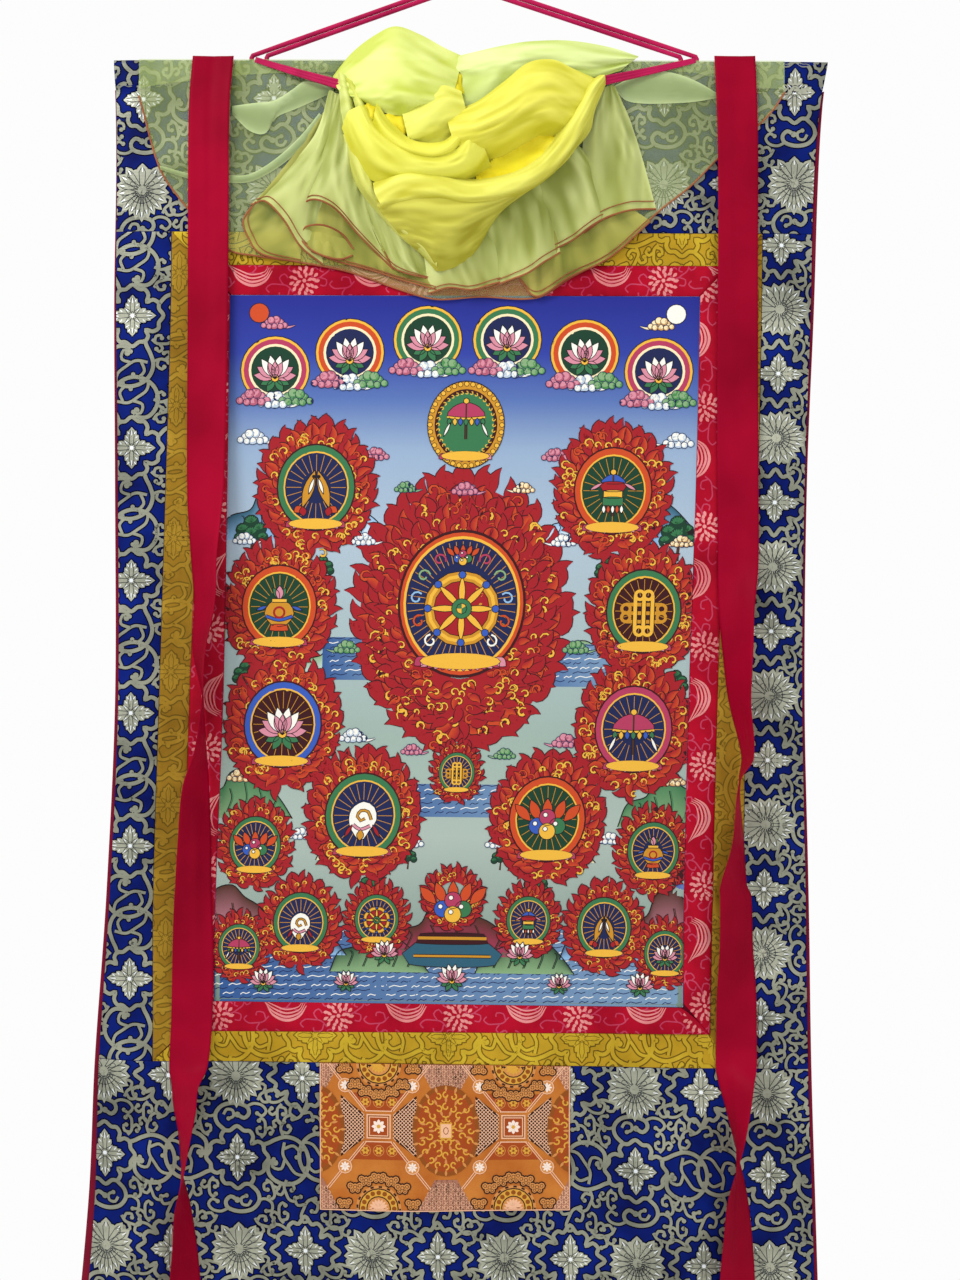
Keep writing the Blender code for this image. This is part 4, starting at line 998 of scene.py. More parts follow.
def makeDoor():
    paint, dye = Paint(panels["door_patch"]), doorDyes
    for cx in (425, 1152, -302, 1880):
        # honeycomb fields above and below, either side of each square
        for side in (-1, 1):
            for top, sign in ((130, 1), (915, -1)):
                x = cx + side * 363
                rim = doorAt((x - 150, top), (x + 150, top), (x + 60, top + sign * 165), (x - 60, top + sign * 165))
                paint.add(rim[None], dye["mauve"], 1)
                for i in range(-5, 6):
                    for j in range(6):
                        px, py = x + i * 26 + (j % 2) * 13, top + sign * (14 + j * 25)
                        if abs(px - x) < 140 - j * 15:
                            paint.line(ringPath(*doorAt((px, py))[0], 2.4, 6), 0.7, dye["pale"], 2)
        # the lattices left and right of the square
        for side in (-1, 1):
            near, far = cx + side * 78, cx + side * 205
            rim = doorAt((near, 402), (far, 300), (far, 630), (near, 530))
            paint.add(rim[None], dye["dark"], 1)
            for k in range(-16, 22):
                for slope in (-1, 1):
                    a, b = (near, 465 + k * 20), (far, 465 + k * 20 + slope * 127)
                    share = np.linspace(0, 1, 9)
                    path = np.array([[a[0] + (b[0] - a[0]) * s, a[1] + (b[1] - a[1]) * s] for s in share])
                    reach = 65 + (np.abs(path[:, 0] - near)) * 0.8
                    inside = np.abs(path[:, 1] - 465) < reach
                    for p, q, ok in zip(path, path[1:], inside[1:] & inside[:-1]):
                        if ok:
                            paint.add(stroke(doorAt(p, q), 0.85), dye["pale"], 2)
        # flowered fields above and below the square, with the pale double lines about them
        for sign in (-1, 1):
            rim = doorAt((cx - 62, 465 + sign * 78), (cx + 62, 465 + sign * 78), (cx + 150, 465 + sign * 178),
                         (cx - 150, 465 + sign * 178))
            paint.add(rim[None], dye["rust"], 1)
            for dx in (-72, 0, 72):
                x, y = doorAt((cx + dx, 465 + sign * 130))[0]
                for k in range(6):
                    paint.add(leaf(x, y, 60 * k, 5.2, 3.0, 0.6, 0.8, 5), dye["gold"], 2)
                paint.add(disc(x, y, 1.6, 6), dye["brown"], 3)
                paint.line(ringPath(x, y, 6.6, 10), 0.8, dye["warm"], 2)
            for side in (-1, 1):
                corner = (cx + side * 72, 465 + sign * 82)
                medal = (cx + side * 182, 465 + sign * 218)
                edge = (cx + side * 275, 465 + sign * 335)
                for off in (-7, 7):
                    path = doorAt(*[(px + off, py) for px, py in (corner, medal, edge)])
                    paint.line(path, 1.1, dye["pale"], 4)
                x, y = doorAt(medal)[0]
                paint.add(disc(x, y, 8.6, 12), dye["warm"], 5)
                paint.line(ringPath(x, y, 8.2, 12), 1.2, dye["pale"], 6)
                for k in range(8):
                    paint.add(leaf(x, y, 45 * k, 6.4, 2.6, 0.6, 0.8, 5), dye["white"], 7)
            path = doorAt((cx - 72, 465 + sign * 82), (cx + 72, 465 + sign * 82))
            paint.line(path, 1.4, dye["pale"], 5)
        # the square itself with its rosette
        x, y = doorAt((cx, 465))[0]
        for half, tone, level in ((14.8, "pale", 5), (13.2, "brown", 6), (11.8, "pale", 7), (10.6, "rust", 8)):
            paint.add(box(x - half, y - half, x + half, y + half), dye[tone], level)
        for k in range(8):
            paint.add(leaf(x, y, 45 * k, 8.6, 4.2, 0.65, 0.7, 6), dye["white"], 9)
        paint.add(disc(x, y, 2.4), dye["gold"], 10)
        # half rosettes at the top and bottom edges with black cloud curls
        for cy, sign, tone in ((130, 1, "gold"), (905, -1, "pale")):
            x, y = doorAt((cx, cy))[0]
            for radius, shade, level in ((28, "warm", 3), (24.5, "dark", 4), (23, "gold", 5), (15, "dark", 6),
                                         (13.6, "warm", 6.4), (8, "brown", 6.8)):
                paint.add(disc(x, y, radius, 20), dye[shade], level)
            for k in range(16):
                turn = math.radians(22.5 * k)
                paint.add(disc(x + 19 * math.cos(turn), y + 19 * math.sin(turn), 2.9), dye["brown"], 7)
                paint.add(leaf(x, y, 22.5 * k, 12.0, 3.2, 0.75, 0.7, 5), dye[tone], 7)
                paint.line(ringPath(x, y, 26.2, 2, 1.0, 22.5 * k, 22.5 * k + 9), 2.2, dye["dark"], 7)
            for dx, dy in ((-128, 112), (0, 168), (128, 112), (-186, 26), (186, 26), (-68, 150), (68, 150)):
                px, py = doorAt((cx + dx, cy + sign * dy))[0]
                for ox, oy, radius in ((0, 0, 5.0), (-5.6, 1.6, 4.4), (5.6, 1.6, 4.4), (-3.2, -3.8, 3.6), (3.2, -3.8, 3.6)):
                    paint.add(disc(px + ox, py + oy * sign, radius + 1.1), dye["dark"], 8)
                    paint.add(disc(px + ox, py + oy * sign, radius - 0.6), dye["warm"], 9)
                    paint.line(ringPath(px + ox, py + oy * sign, radius * 0.45, 6), 0.7, dye["dark"], 10)
    # the golden scroll medallions between the squares
    for cx in (788, 61, 1515):
        x, y = doorAt((cx, 485))[0]
        paint.add(disc(x, y, 41, 24, 1.35), dye["brown"], 9)
        paint.add(disc(x, y, 36, 24, 1.4), dye["rust"], 10)
        for ring, (count, reach, size) in enumerate(((10, 0.36, 10), (14, 0.66, 11), (20, 0.93, 10))):
            for k in range(count):
                turn = 360 * (k + 0.5 * ring) / count
                px = x + 37 * reach * math.cos(math.radians(turn))
                py = y + 51 * reach * math.sin(math.radians(turn))
                hand = 1 if k % 2 else -1
                paint.line(curl(px, py, turn + 90 * hand, size * 0.42, hand, 0.8, 9), 1.9, dye["gold"], 12)
                paint.add(leaf(px, py, turn, size * 0.8, 3.2, 0.5, 1.0, 5), dye["warm"], 11)
        for half, tall, tone, level in ((7.5, 9.5, "gold", 13), (6.2, 8.2, "pale", 14)):
            paint.add(box(x - half, y - tall, x + half, y + tall), dye[tone], level)
        paint.line(ringPath(x, y, 3.0, 8, 1.4), 0.9, dye["brown"], 15)
    # a thin pale edge where the patch is stitched down
    width, height = panels["door_patch"]["width"], panels["door_patch"]["height"]
    for rim in (box(0, 0, 1.6, height), box(width - 1.6, 0, width, height), box(0, height - 1.6, width, height)):
        paint.add(rim, dye["pale"], 20)
    paint.build("door_patch_figure", materials["doorSilk"])


makeDoor()
print("door patch woven")

# The picture: a wheel in a flaming round among lucky emblems, clouds, hills and water
paints = dict(ink="#1a1014", deep="#16204e", sky="#2c4aa6", pale="#dcecf2", white="#f2f0e6", red="#a01822",
              darkRed="#380a12", orange="#c8481e", yellow="#eab43c", gold="#c88c24", green="#35744a",
              darkGreen="#123c28", leafGreen="#84a87a", teal="#2a5a70", pink="#d48a9c", rose="#b0385c",
              blue="#3458b4", lightBlue="#8cb8e0", brown="#4a2a1c", violet="#5a3478", cream="#f4e4b8")
skyRows = ((0, "#1c2488"), (70, "#2c3c9c"), (130, "#5672b0"), (190, "#93abc8"), (300, "#a9bccb"), (420, "#a4b8ba"),
           (540, "#9ab0a6"), (660, "#a8b8b0"), (760, "#8ea096"), (880, "#6c8278"))
# Each emblem lies within a circle of radius 1: kind, colour, then its measures, with y up
emblems = {
    "wheel": [("disc", "gold", 0, 0, 0.98), ("disc", "red", 0, 0, 0.72), ("ring", "yellow", 0, 0, 0.85, 0.09)]
    + [("leaf", "yellow", 0, 0, 45 * k, 0.86, 0.17) for k in range(8)]
    + [("disc", "blue", 0.88 * math.cos(k * math.pi / 4), 0.88 * math.sin(k * math.pi / 4), 0.1) for k in range(8)]
    + [("disc", "green", 0, 0, 0.26), ("disc", "yellow", 0, 0, 0.14)],
    "parasol": [("line", "brown", 0.07, (0, -0.95), (0, 0.7)), ("blob", "rose", (-0.85, 0.05), (-0.6, 0.5),
                (0, 0.72), (0.6, 0.5), (0.85, 0.05), (0, -0.02)), ("line", "yellow", 0.08, (-0.85, 0.05), (0, -0.02),
                (0.85, 0.05))] + [("leaf", ("green", "yellow", "blue")[k % 3], -0.75 + 0.25 * k, 0.02, -90, 0.36, 0.2)
                                  for k in range(7)]
    + [("disc", "yellow", 0, 0.78, 0.13), ("leaf", "white", -0.7, -0.2, -115, 0.7, 0.13),
       ("leaf", "white", 0.7, -0.2, -65, 0.7, 0.13)],
    "fishes": [("leaf", "gold", -0.55, -0.75, 72, 1.6, 0.42), ("leaf", "gold", 0.55, -0.75, 108, 1.6, 0.42),
               ("leaf", "orange", -0.55, -0.7, 215, 0.4, 0.3), ("leaf", "orange", 0.55, -0.7, -35, 0.4, 0.3),
               ("leaf", "red", -0.55, -0.7, 280, 0.4, 0.3), ("leaf", "red", 0.55, -0.7, 260, 0.4, 0.3),
               ("leaf", "white", -0.3, -0.2, 72, 0.7, 0.14), ("leaf", "white", 0.3, -0.2, 108, 0.7, 0.14),
               ("disc", "ink", -0.1, 0.52, 0.06), ("disc", "ink", 0.1, 0.52, 0.06)],
    "vase": [("leaf", "green", 0, 0.4, 60, 0.55, 0.24), ("leaf", "green", 0, 0.4, 120, 0.55, 0.24),
             ("leaf", "pink", 0, 0.35, 90, 0.62, 0.34), ("blob", "gold", (-0.3, -0.7), (-0.62, -0.2), (-0.42, 0.22),
             (-0.16, 0.34), (0.16, 0.34), (0.42, 0.22), (0.62, -0.2), (0.3, -0.7)),
             ("blob", "orange", (-0.4, -0.92), (-0.34, -0.68), (0.34, -0.68), (0.4, -0.92)),
             ("ring", "red", 0, -0.16, 0.22, 0.09), ("line", "blue", 0.1, (-0.56, -0.32), (0, -0.48), (0.56, -0.32)),
             ("line", "yellow", 0.12, (-0.3, 0.34), (0.3, 0.34)), ("leaf", "blue", -0.5, 0.1, 200, 0.5, 0.15),
             ("leaf", "blue", 0.5, 0.1, -20, 0.5, 0.15)],
    "lotus": [("leaf", "green", 0, -0.3, a, 0.75, 0.34) for a in (-155, -120, -60, -25)]
    + [("leaf", "pink", 0, -0.3, a, 1.0, 0.42) for a in (8, 172, 32, 148)]
    + [("leaf", "white", 0, -0.32, a, 1.12, 0.42) for a in (55, 125, 78, 102)]
    + [("leaf", "pink", 0, -0.34, a, 0.84, 0.36) for a in (68, 112, 90)] + [("disc", "yellow", 0, -0.3, 0.18)],
    "conch": [("blob", "white", (-0.2, -0.9), (-0.56, -0.3), (-0.5, 0.32), (0, 0.66), (0.46, 0.42), (0.56, -0.1),
              (0.3, -0.5), (0.04, -0.9)), ("line", "gold", 0.08, (0.34, -0.1), (0.2, 0.24), (-0.1, 0.28), (-0.24, 0.04),
              (-0.1, -0.14), (0.08, -0.04)), ("line", "pink", 0.1, (-0.4, -0.3), (-0.1, -0.5), (0.3, -0.34)),
              ("leaf", "gold", -0.08, -0.5, -94, 0.46, 0.3), ("leaf", "red", 0.4, -0.3, -60, 0.6, 0.16),
              ("leaf", "red", -0.44, -0.3, -120, 0.6, 0.16)],
    "knot": [("line", "gold", 0.15, (-0.75, a), (0.75, a)) for a in (-0.36, 0.0, 0.36)]
    + [("line", "yellow", 0.15, (a, -0.75), (a, 0.75)) for a in (-0.36, 0.0, 0.36)]
    + [("ring", "gold", s * 0.75, t * 0.18, 0.18, 0.13) for s in (-1, 1) for t in (-1, 1)]
    + [("ring", "yellow", s * 0.18, t * 0.75, 0.18, 0.13) for s in (-1, 1) for t in (-1, 1)],
    "banner": [("line", "brown", 0.08, (0, -0.95), (0, 0.9)), ("blob", "blue", (-0.5, 0.4), (0, 0.78), (0.5, 0.4)),
               ("blob", "red", (-0.42, 0.42), (-0.42, 0.08), (0.42, 0.08), (0.42, 0.42)),
               ("blob", "yellow", (-0.38, 0.08), (-0.38, -0.2), (0.38, -0.2), (0.38, 0.08)),
               ("blob", "green", (-0.42, -0.2), (-0.42, -0.5), (0.42, -0.5), (0.42, -0.2))]
    + [("leaf", ("white", "orange")[k % 2], -0.36 + 0.18 * k, -0.5, -90, 0.34, 0.15) for k in range(5)]
    + [("disc", "yellow", 0, 0.84, 0.12), ("leaf", "pink", 0.42, 0.4, -30, 0.6, 0.14),
       ("leaf", "pink", -0.42, 0.4, 210, 0.6, 0.14)],
    "jewel": [("leaf", "orange", 0.34 * k, 0.0, 90 - 22 * k, 0.95, 0.42) for k in (-2, 2, -1, 1, 0)]
    + [("disc", c, x, y, 0.34) for c, x, y in (("blue", -0.42, -0.2), ("green", 0.42, -0.2), ("rose", 0, 0.16),
                                                ("yellow", 0, -0.42))]
    + [("disc", "white", x, y, 0.1) for x, y in ((-0.5, -0.1), (0.34, -0.1), (-0.08, 0.26), (-0.08, -0.32))],
}


def drawShape(paint, shape, x, y, size, level, mirror=False, line=0.9):
    kind, colour, rest = shape[0], shape[1], shape[2:]
    flip = np.array([-size if mirror else size, -size])
    centre = np.array([x, y])
    tone = paints[colour]
    if kind == "line":
        path = smoothPath(rest[1:], 0.25) * flip + centre
        paint.line(path, rest[0] * size + 2 * line, paints["ink"], level)
        paint.line(path, rest[0] * size, tone, level + 0.5)
        return
    if kind == "ring":
        paint.line(ringPath(rest[0], rest[1], rest[2]) * flip + centre, rest[3] * size, tone, level + 0.5)
        return
    if kind == "disc":
        quads, rim = disc(*rest, sides=16 if rest[2] > 0.2 else 8), ringPath(*rest, 16 if rest[2] > 0.2 else 8)
    elif kind == "leaf":
        quads = leaf(*rest, 0.5, 0.9)
        rim = np.vstack([quads[:, 0], quads[-1:, 3], quads[::-1, 2], quads[:1, 1]])
        rim = np.vstack([rim, rim[:1]])
    else:
        path = smoothPath(rest, 0.3, True)
        quads, rim = fan(path[:-1]), path
    paint.add(quads * flip + centre, tone, level)
    paint.line(rim * flip + centre, line, paints["ink"], level + 0.5)


def drawEmblem(paint, name, x, y, size, level, mirror=False):
    for k, shape in enumerate(emblems[name]):
        drawShape(paint, shape, x, y, size, level + 0.35 * min(k, 12), mirror)


def drawRings(paint, x, y, tall, rings, level, sides=28):
    # bands of colour one within another, and the field inside them
    turn = np.linspace(0, 2 * np.pi, sides + 1)
    rim = np.stack([np.cos(turn), tall * np.sin(turn)], 1)
    for k, (radius, tone) in enumerate(rings):
        if k + 1 == len(rings):
            paint.add(disc(x, y, radius, sides, tall), paints[tone], level + 0.3 * k)
            return
        outer, inner = rim * radius + (x, y), rim * (rings[k + 1][0] - 0.8) + (x, y)
        paint.add(np.stack([inner[:-1], outer[:-1], outer[1:], inner[1:]], 1), paints[tone], level + 0.3 * k)


def drawFlames(paint, x, y, wide, tall, count, reach, level, seed):
    # a fiery rim: dark edged tongues in three rows, and bright licks over them
    rng = np.random.default_rng(seed)
    path = ringPath(0, 0, 1.0, 28) * (wide * 0.82, tall * 0.82) + (x, y)
    paint.line(path, wide * 0.42, paints["red"], level)
    for row, (tone, far, share, out, long) in enumerate((("red", "red", 1.0, 0.96, 1.0),
                                                         ("orange", "red", 0.7, 0.86, 0.8),
                                                         ("red", "orange", 0.5, 0.72, 0.66))):
        many = int(count * share)
        for k in range(many):
            turn = 360 * (k + 0.5 * row) / many + rng.uniform(-3, 3)
            c, s = math.cos(math.radians(turn)), math.sin(math.radians(turn))
            px, py = x + wide * out * c, y + tall * out * s
            heading = math.degrees(math.atan2(s * 0.8 - 0.75, c))
            bend = (1 if k % 2 else -1) * rng.uniform(45, 85)
            length = reach * long * rng.uniform(0.85, 1.2)
            broad = reach * 0.42 * long
            paint.add(tongue(px, py, heading - bend * 0.4, length + 1.6, broad + 2.0, bend), paints["darkRed"],
                      level + 1 + row * 1.2)
            paint.add(tongue(px, py, heading - bend * 0.4, length, broad, bend), paints[tone], level + 1.5 + row * 1.2,
                      paints[far])
    for k in range(int(count * 1.2)):
        turn, share = rng.uniform(0, 360), rng.uniform(0.7, 1.02)
        px = x + wide * share * math.cos(math.radians(turn))
        py = y + tall * share * math.sin(math.radians(turn))
        hand = 1 if rng.random() > 0.5 else -1
        path = curl(px, py, -90 + rng.uniform(-60, 60), reach * rng.uniform(0.16, 0.26), hand, 0.75, 7)
        width = np.linspace(0.35, 1.0, 7) * reach * 0.11
        paint.line(path, width * 1.7, paints["darkRed"], level + 4.9)
        paint.line(path, width, paints["yellow" if k % 3 else "orange"], level + 5)


def drawLotusSeat(paint, x, y, wide, level, tone="pink"):
    # a seat of petals under an emblem, with a moon disc on it
    count = max(int(wide / 3.4), 7)
    for k in range(count):
        off = (k - (count - 1) / 2) / count * 2
        petal = ("leaf", tone if k % 2 else "rose", off * 0.92, 0.1, -90 + off * 55, 0.34, 0.24)
        drawShape(paint, petal, x, y, wide, level + 0.1 * (k % 2), line=0.8)
    drawShape(paint, ("disc", "yellow", 0, 0, 0.99), x, y, wide, level + 1.2)
    paint.quads[-1], paint.quads[-2] = (np.stack([q[..., 0], y + (q[..., 1] - y) * 0.2], -1)
                                        for q in (paint.quads[-1], paint.quads[-2]))


def drawRound(paint, name, x, y, size, level, seed, halo="green", inner="deep"):
    drawFlames(paint, x, y - size * 0.05, size * 1.0, size * 1.22, int(size * 0.8), size * 0.42, level, seed)
    drawRings(paint, x, y - size * 0.08, 1.12, ((size * 0.8, "darkRed"), (size * 0.77, halo), (size * 0.66, "yellow"),
                                                (size * 0.63, inner)), level + 6)
    for k in range(24):
        path = [(x + size * 0.3 * math.cos(k * math.pi / 12), y - size * 0.08 + size * 0.33 * math.sin(k * math.pi / 12)),
                (x + size * 0.6 * math.cos(k * math.pi / 12), y - size * 0.08 + size * 0.67 * math.sin(k * math.pi / 12))]
        paint.line(path, 0.7, paints["gold"], level + 7.6)
    drawLotusSeat(paint, x, y + size * 0.66, size * 0.56, level + 8)
    drawEmblem(paint, name, x, y - size * 0.04, size * 0.5, level + 10.5)


cloudPuffs = ((0.0, 0.0, 0.34), (0.42, -0.12, 0.28), (-0.4, -0.08, 0.27), (0.16, -0.34, 0.27), (-0.2, -0.3, 0.25),
              (0.75, 0.06, 0.2), (-0.74, 0.08, 0.18), (0.45, 0.14, 0.2), (-0.35, 0.16, 0.18))


def drawCloud(paint, x, y, size, tone, level, mirror=False, edge="deep"):
    # a scrolled cloud: overlapping puffs, each with a darker curl, over a tail
    sign = -1 if mirror else 1
    shades = {"white": "#b8c8d8", "pink": "#b05a70", "leafGreen": "#4a8a4a", "lightBlue": "#4a74b8", "cream": "#c89a5a"}
    tail = smoothPath([(x + sign * size * 0.5, y + size * 0.12), (x + sign * size * 1.0, y + size * 0.2),
                       (x + sign * size * 1.5, y + size * 0.06)], size * 0.16)
    taper = np.linspace(1, 0.06, len(tail)) * size * 0.26
    paint.line(tail, taper + 1.6, paints[edge], level)
    paint.line(tail, taper, paints[tone], level + 0.4)
    for k, (dx, dy, radius) in enumerate(cloudPuffs):
        px, py, radius = x + sign * dx * size, y + dy * size, radius * size
        paint.add(disc(px, py, radius + 0.8, 12), paints[edge], level + 0.5 + 0.12 * k)
        paint.add(disc(px, py, radius, 12), shades[tone], level + 0.56 + 0.12 * k)
        paint.add(disc(px - radius * 0.12, py - radius * 0.14, radius * 0.8, 10), paints[tone], level + 0.6 + 0.12 * k)
        path = curl(px - sign * radius * 0.45, py + radius * 0.3, -20 if sign > 0 else 200, radius * 0.42, -sign, 0.9, 6)
        paint.line(path, radius * 0.17, shades[tone], level + 0.64 + 0.12 * k)


def drawHill(paint, x, low, wide, high, tone, shade, level):
    # a lobed rock, shaded towards its foot, with inked creases
    peak = smoothPath([(x - wide, low), (x - wide * 0.82, low - high * 0.45), (x - wide * 0.45, low - high * 0.6),
                       (x - wide * 0.3, low - high * 0.92), (x, low - high), (x + wide * 0.22, low - high * 0.82),
                       (x + wide * 0.5, low - high * 0.66), (x + wide * 0.78, low - high * 0.34), (x + wide, low)], 5.0)
    foot = np.stack([peak[:, 0], np.full(len(peak), float(low))], 1)
    paint.add(np.stack([peak[:-1], foot[:-1], foot[1:], peak[1:]], 1), paints[tone], level, paints[shade])
    paint.line(peak, 1.4, paints["ink"], level + 0.4)
    for k in range(1, 6):
        px = x + wide * (k - 3) * 0.3
        path = smoothPath([(px, low - high * (0.72 - 0.12 * abs(k - 3))), (px + wide * 0.05, low - high * 0.4),
                           (px - wide * 0.04, low - high * 0.12)], 5.0)
        paint.line(path, 1.1, paints["ink"], level + 0.4)
        paint.line(path + (1.6, 0), 1.2, paints[tone], level + 0.5)


def drawTree(paint, x, low, high, level, tone="green"):
    paint.line([(x, low), (x + high * 0.04, low - high * 0.5), (x, low - high * 0.72)], (high * 0.09, high * 0.06,
                                                                                           high * 0.03),
               paints["brown"], level)
    for dx, dy, radius in ((0, 0.9, 0.2), (-0.22, 0.7, 0.18), (0.22, 0.72, 0.18), (-0.3, 0.48, 0.15), (0.3, 0.5, 0.15),
                           (0, 0.6, 0.2)):
        px, py = x + dx * high, low - dy * high
        paint.add(disc(px, py, radius * high + 0.8, 10), paints["ink"], level + 0.2)
        paint.add(disc(px, py, radius * high, 10), paints["darkGreen"], level + 0.5)
        for k in range(7):
            turn = -160 + 20 * k
            paint.add(leaf(px, py, turn, radius * high * 0.92, radius * high * 0.3, 0.6, 0.8, 5), paints[tone],
                      level + 0.8)


def drawWater(paint, top, low, left, right, level, seed):
    rng = np.random.default_rng(seed)
    paint.add(box(left, top, right, low), "#2c5490", level, "#7898b8")
    for row in range(int((low - top) / 5.5)):
        y = top + 3 + row * 5.5
        x = left + rng.uniform(0, 12)
        while x < right - 12:
            length = rng.uniform(9, 22)
            path = smoothPath([(x, y), (x + length * 0.3, y - 2.4), (x + length * 0.62, y - 1.0),
                               (x + length, y - 2.8)], 4.0)
            paint.line(path, 1.0, paints["white" if row % 2 else "deep"], level + 0.4)
            x += length + rng.uniform(2, 9)


def edgedLines(length):
    # even steps, closer together at both ends, where the cloth rolls into its seam
    steps = np.linspace(0, length, int(length / 9.0) + 2)
    return np.unique(np.concatenate([steps, (1.0, 2.0, 3.4, 5.4), length - np.array((1.0, 2.0, 3.4, 5.4))]))


def makePicture():
    panel = panels["painting"]
    paint = Paint(panel)
    width, height = panel["width"], panel["height"]
    ys = edgedLines(height)
    rows = np.array([hexColour(code) for _, code in skyRows])
    shades = np.stack([np.interp(ys, [row[0] for row in skyRows], rows[:, c]) for c in range(4)], 1)
    xs = edgedLines(width)
    for j in range(len(ys) - 1):
        quads = np.array([[(a, ys[j]), (b, ys[j]), (b, ys[j + 1]), (a, ys[j + 1])] for a, b in zip(xs, xs[1:])])
        paint.add(quads, np.broadcast_to(np.stack([shades[j], shades[j], shades[j + 1], shades[j + 1]]),
                                         (len(quads), 4, 4)), 0)
    # far hills, meadows and water
    for x, low, wide, high, tone, shade in ((60, 300, 70, 62, "teal", "lightBlue"), (150, 296, 50, 40, "lightBlue", "pale"),
                                            (500, 302, 80, 70, "teal", "lightBlue"), (430, 296, 44, 36, "lightBlue", "pale"),
                                            (10, 420, 60, 60, "green", "leafGreen"), (560, 426, 64, 66, "green", "leafGreen"),
                                            (150, 470, 70, 50, "leafGreen", "pale"), (440, 474, 74, 54, "leafGreen", "pale")):
        drawHill(paint, x, low, wide, high, tone, shade, 1)
    drawWater(paint, 418, 470, 120, 220, 2.4, 1)
    drawWater(paint, 424, 476, 360, 470, 2.4, 2)
    drawWater(paint, 596, 636, 180, 400, 2.4, 3)
    drawWater(paint, 770, height, 0, width, 2.4, 4)
    for x, low, wide, high, tone, shade in ((30, 640, 60, 60, "green", "leafGreen"), (548, 646, 62, 62, "green", "leafGreen"),
                                            (180, 690, 60, 44, "leafGreen", "cream"), (400, 690, 60, 44, "leafGreen", "cream"),
                                            (20, 800, 70, 78, "brown", "pink"), (104, 806, 56, 50, "deep", "lightBlue"),
                                            (556, 802, 72, 80, "brown", "pink"), (474, 808, 56, 50, "deep", "lightBlue"),
                                            (200, 826, 60, 54, "darkGreen", "leafGreen"),
                                            (376, 826, 60, 54, "darkGreen", "leafGreen"),
                                            (288, 806, 90, 64, "brown", "rose")):
        drawHill(paint, x, low, wide, high, tone, shade, 3.5)
    for x, low, high in ((30, 320, 46), (548, 322, 50), (118, 352, 30), (462, 352, 30), (26, 486, 34), (552, 492, 34),
                         (190, 742, 36), (388, 742, 36), (232, 700, 24), (344, 700, 24)):
        drawTree(paint, x, low, high, 4.5)
    # the top row of lotus rounds on their clouds, with the sun and the moon
    for x, tone in ((36, "orange"), (540, "white")):
        drawShape(paint, ("disc", tone, 0, 0, 1.0), x, 22, 12, 5)
        drawCloud(paint, x + (18 if x < 288 else -18), 36, 17, "pink" if x < 288 else "cream", 6, x > 288)
    rounds = ((56, 92, "rose"), (146, 70, "orange"), (240, 54, "green"), (336, 54, "green"), (430, 70, "orange"),
              (520, 92, "rose"))
    for k, (x, y, tone) in enumerate(rounds):
        drawRings(paint, x, y, 1.0, ((42, "ink"), (41, "yellow"), (38, tone), (32, "cream"),
                                     (29, "deep" if k % 2 else "darkGreen")), 7)
        drawEmblem(paint, "lotus", x, y + 2, 26, 9)
        for off, hue in ((-26, "pink"), (0, "white"), (26, "leafGreen")):
            drawCloud(paint, x + off, y + 39 - abs(off) * 0.12, 22, hue, 14, off > 0)
    # the crowning parasol in a gold lace round
    drawRings(paint, 288, 158, 1.15, ((47, "ink"), (46, "gold"), (38, "darkRed"), (34, "green")), 15, 32)
    for k in range(36):
        c, s = math.cos(k * math.pi / 18), math.sin(k * math.pi / 18)
        paint.add(disc(288 + 43.5 * c, 158 + 50 * s, 3.4), paints["ink"], 16.2)
        paint.add(disc(288 + 43.5 * c, 158 + 50 * s, 2.6), paints["yellow"], 16.4)
        paint.line(curl(288 + 36 * c, 158 + 41.4 * s, k * 10 + 90, 2.4, 1, 0.7, 6), 1.1, paints["yellow"], 16.6)
    drawEmblem(paint, "parasol", 288, 150, 27, 17)
    drawLotusSeat(paint, 288, 196, 30, 22)
    # the great wheel
    drawFlames(paint, 288, 388, 120, 160, 66, 34, 6, 7)
    for k in range(2):
        drawFlames(paint, 288, 388, 104 - 16 * k, 138 - 18 * k, 44 - 8 * k, 25, 10 + 3 * k, 17 + k)
    drawRings(paint, 288, 376, 1.16, ((78, "darkRed"), (75, "orange"), (71, "yellow"), (68, "deep")), 22.2, 40)
    for k in range(48):
        c, s = math.cos(k * math.pi / 24), math.sin(k * math.pi / 24)
        paint.line([(288 + 44 * c, 376 + 50 * s), (288 + 66 * c, 376 + 76 * s)], 0.8, paints["gold"], 23.4)
    for hand in (-1, 1):
        for k in range(5):
            turn = 90 + hand * (24 + 27 * k)
            path = curl(288 + 50 * math.cos(math.radians(turn)), 376 - 56 * math.sin(math.radians(turn)), -turn + 40 * hand,
                        8, -hand, 0.9, 10)
            paint.line(path, 3.4, paints["ink"], 23.7)
            paint.line(path, 2.2, paints[("rose", "leafGreen", "lightBlue", "orange", "white")[k]], 24)
    drawLotusSeat(paint, 288, 446, 50, 24.5)
    drawEmblem(paint, "wheel", 288, 382, 47, 26)
    drawEmblem(paint, "jewel", 288, 318, 15, 31)
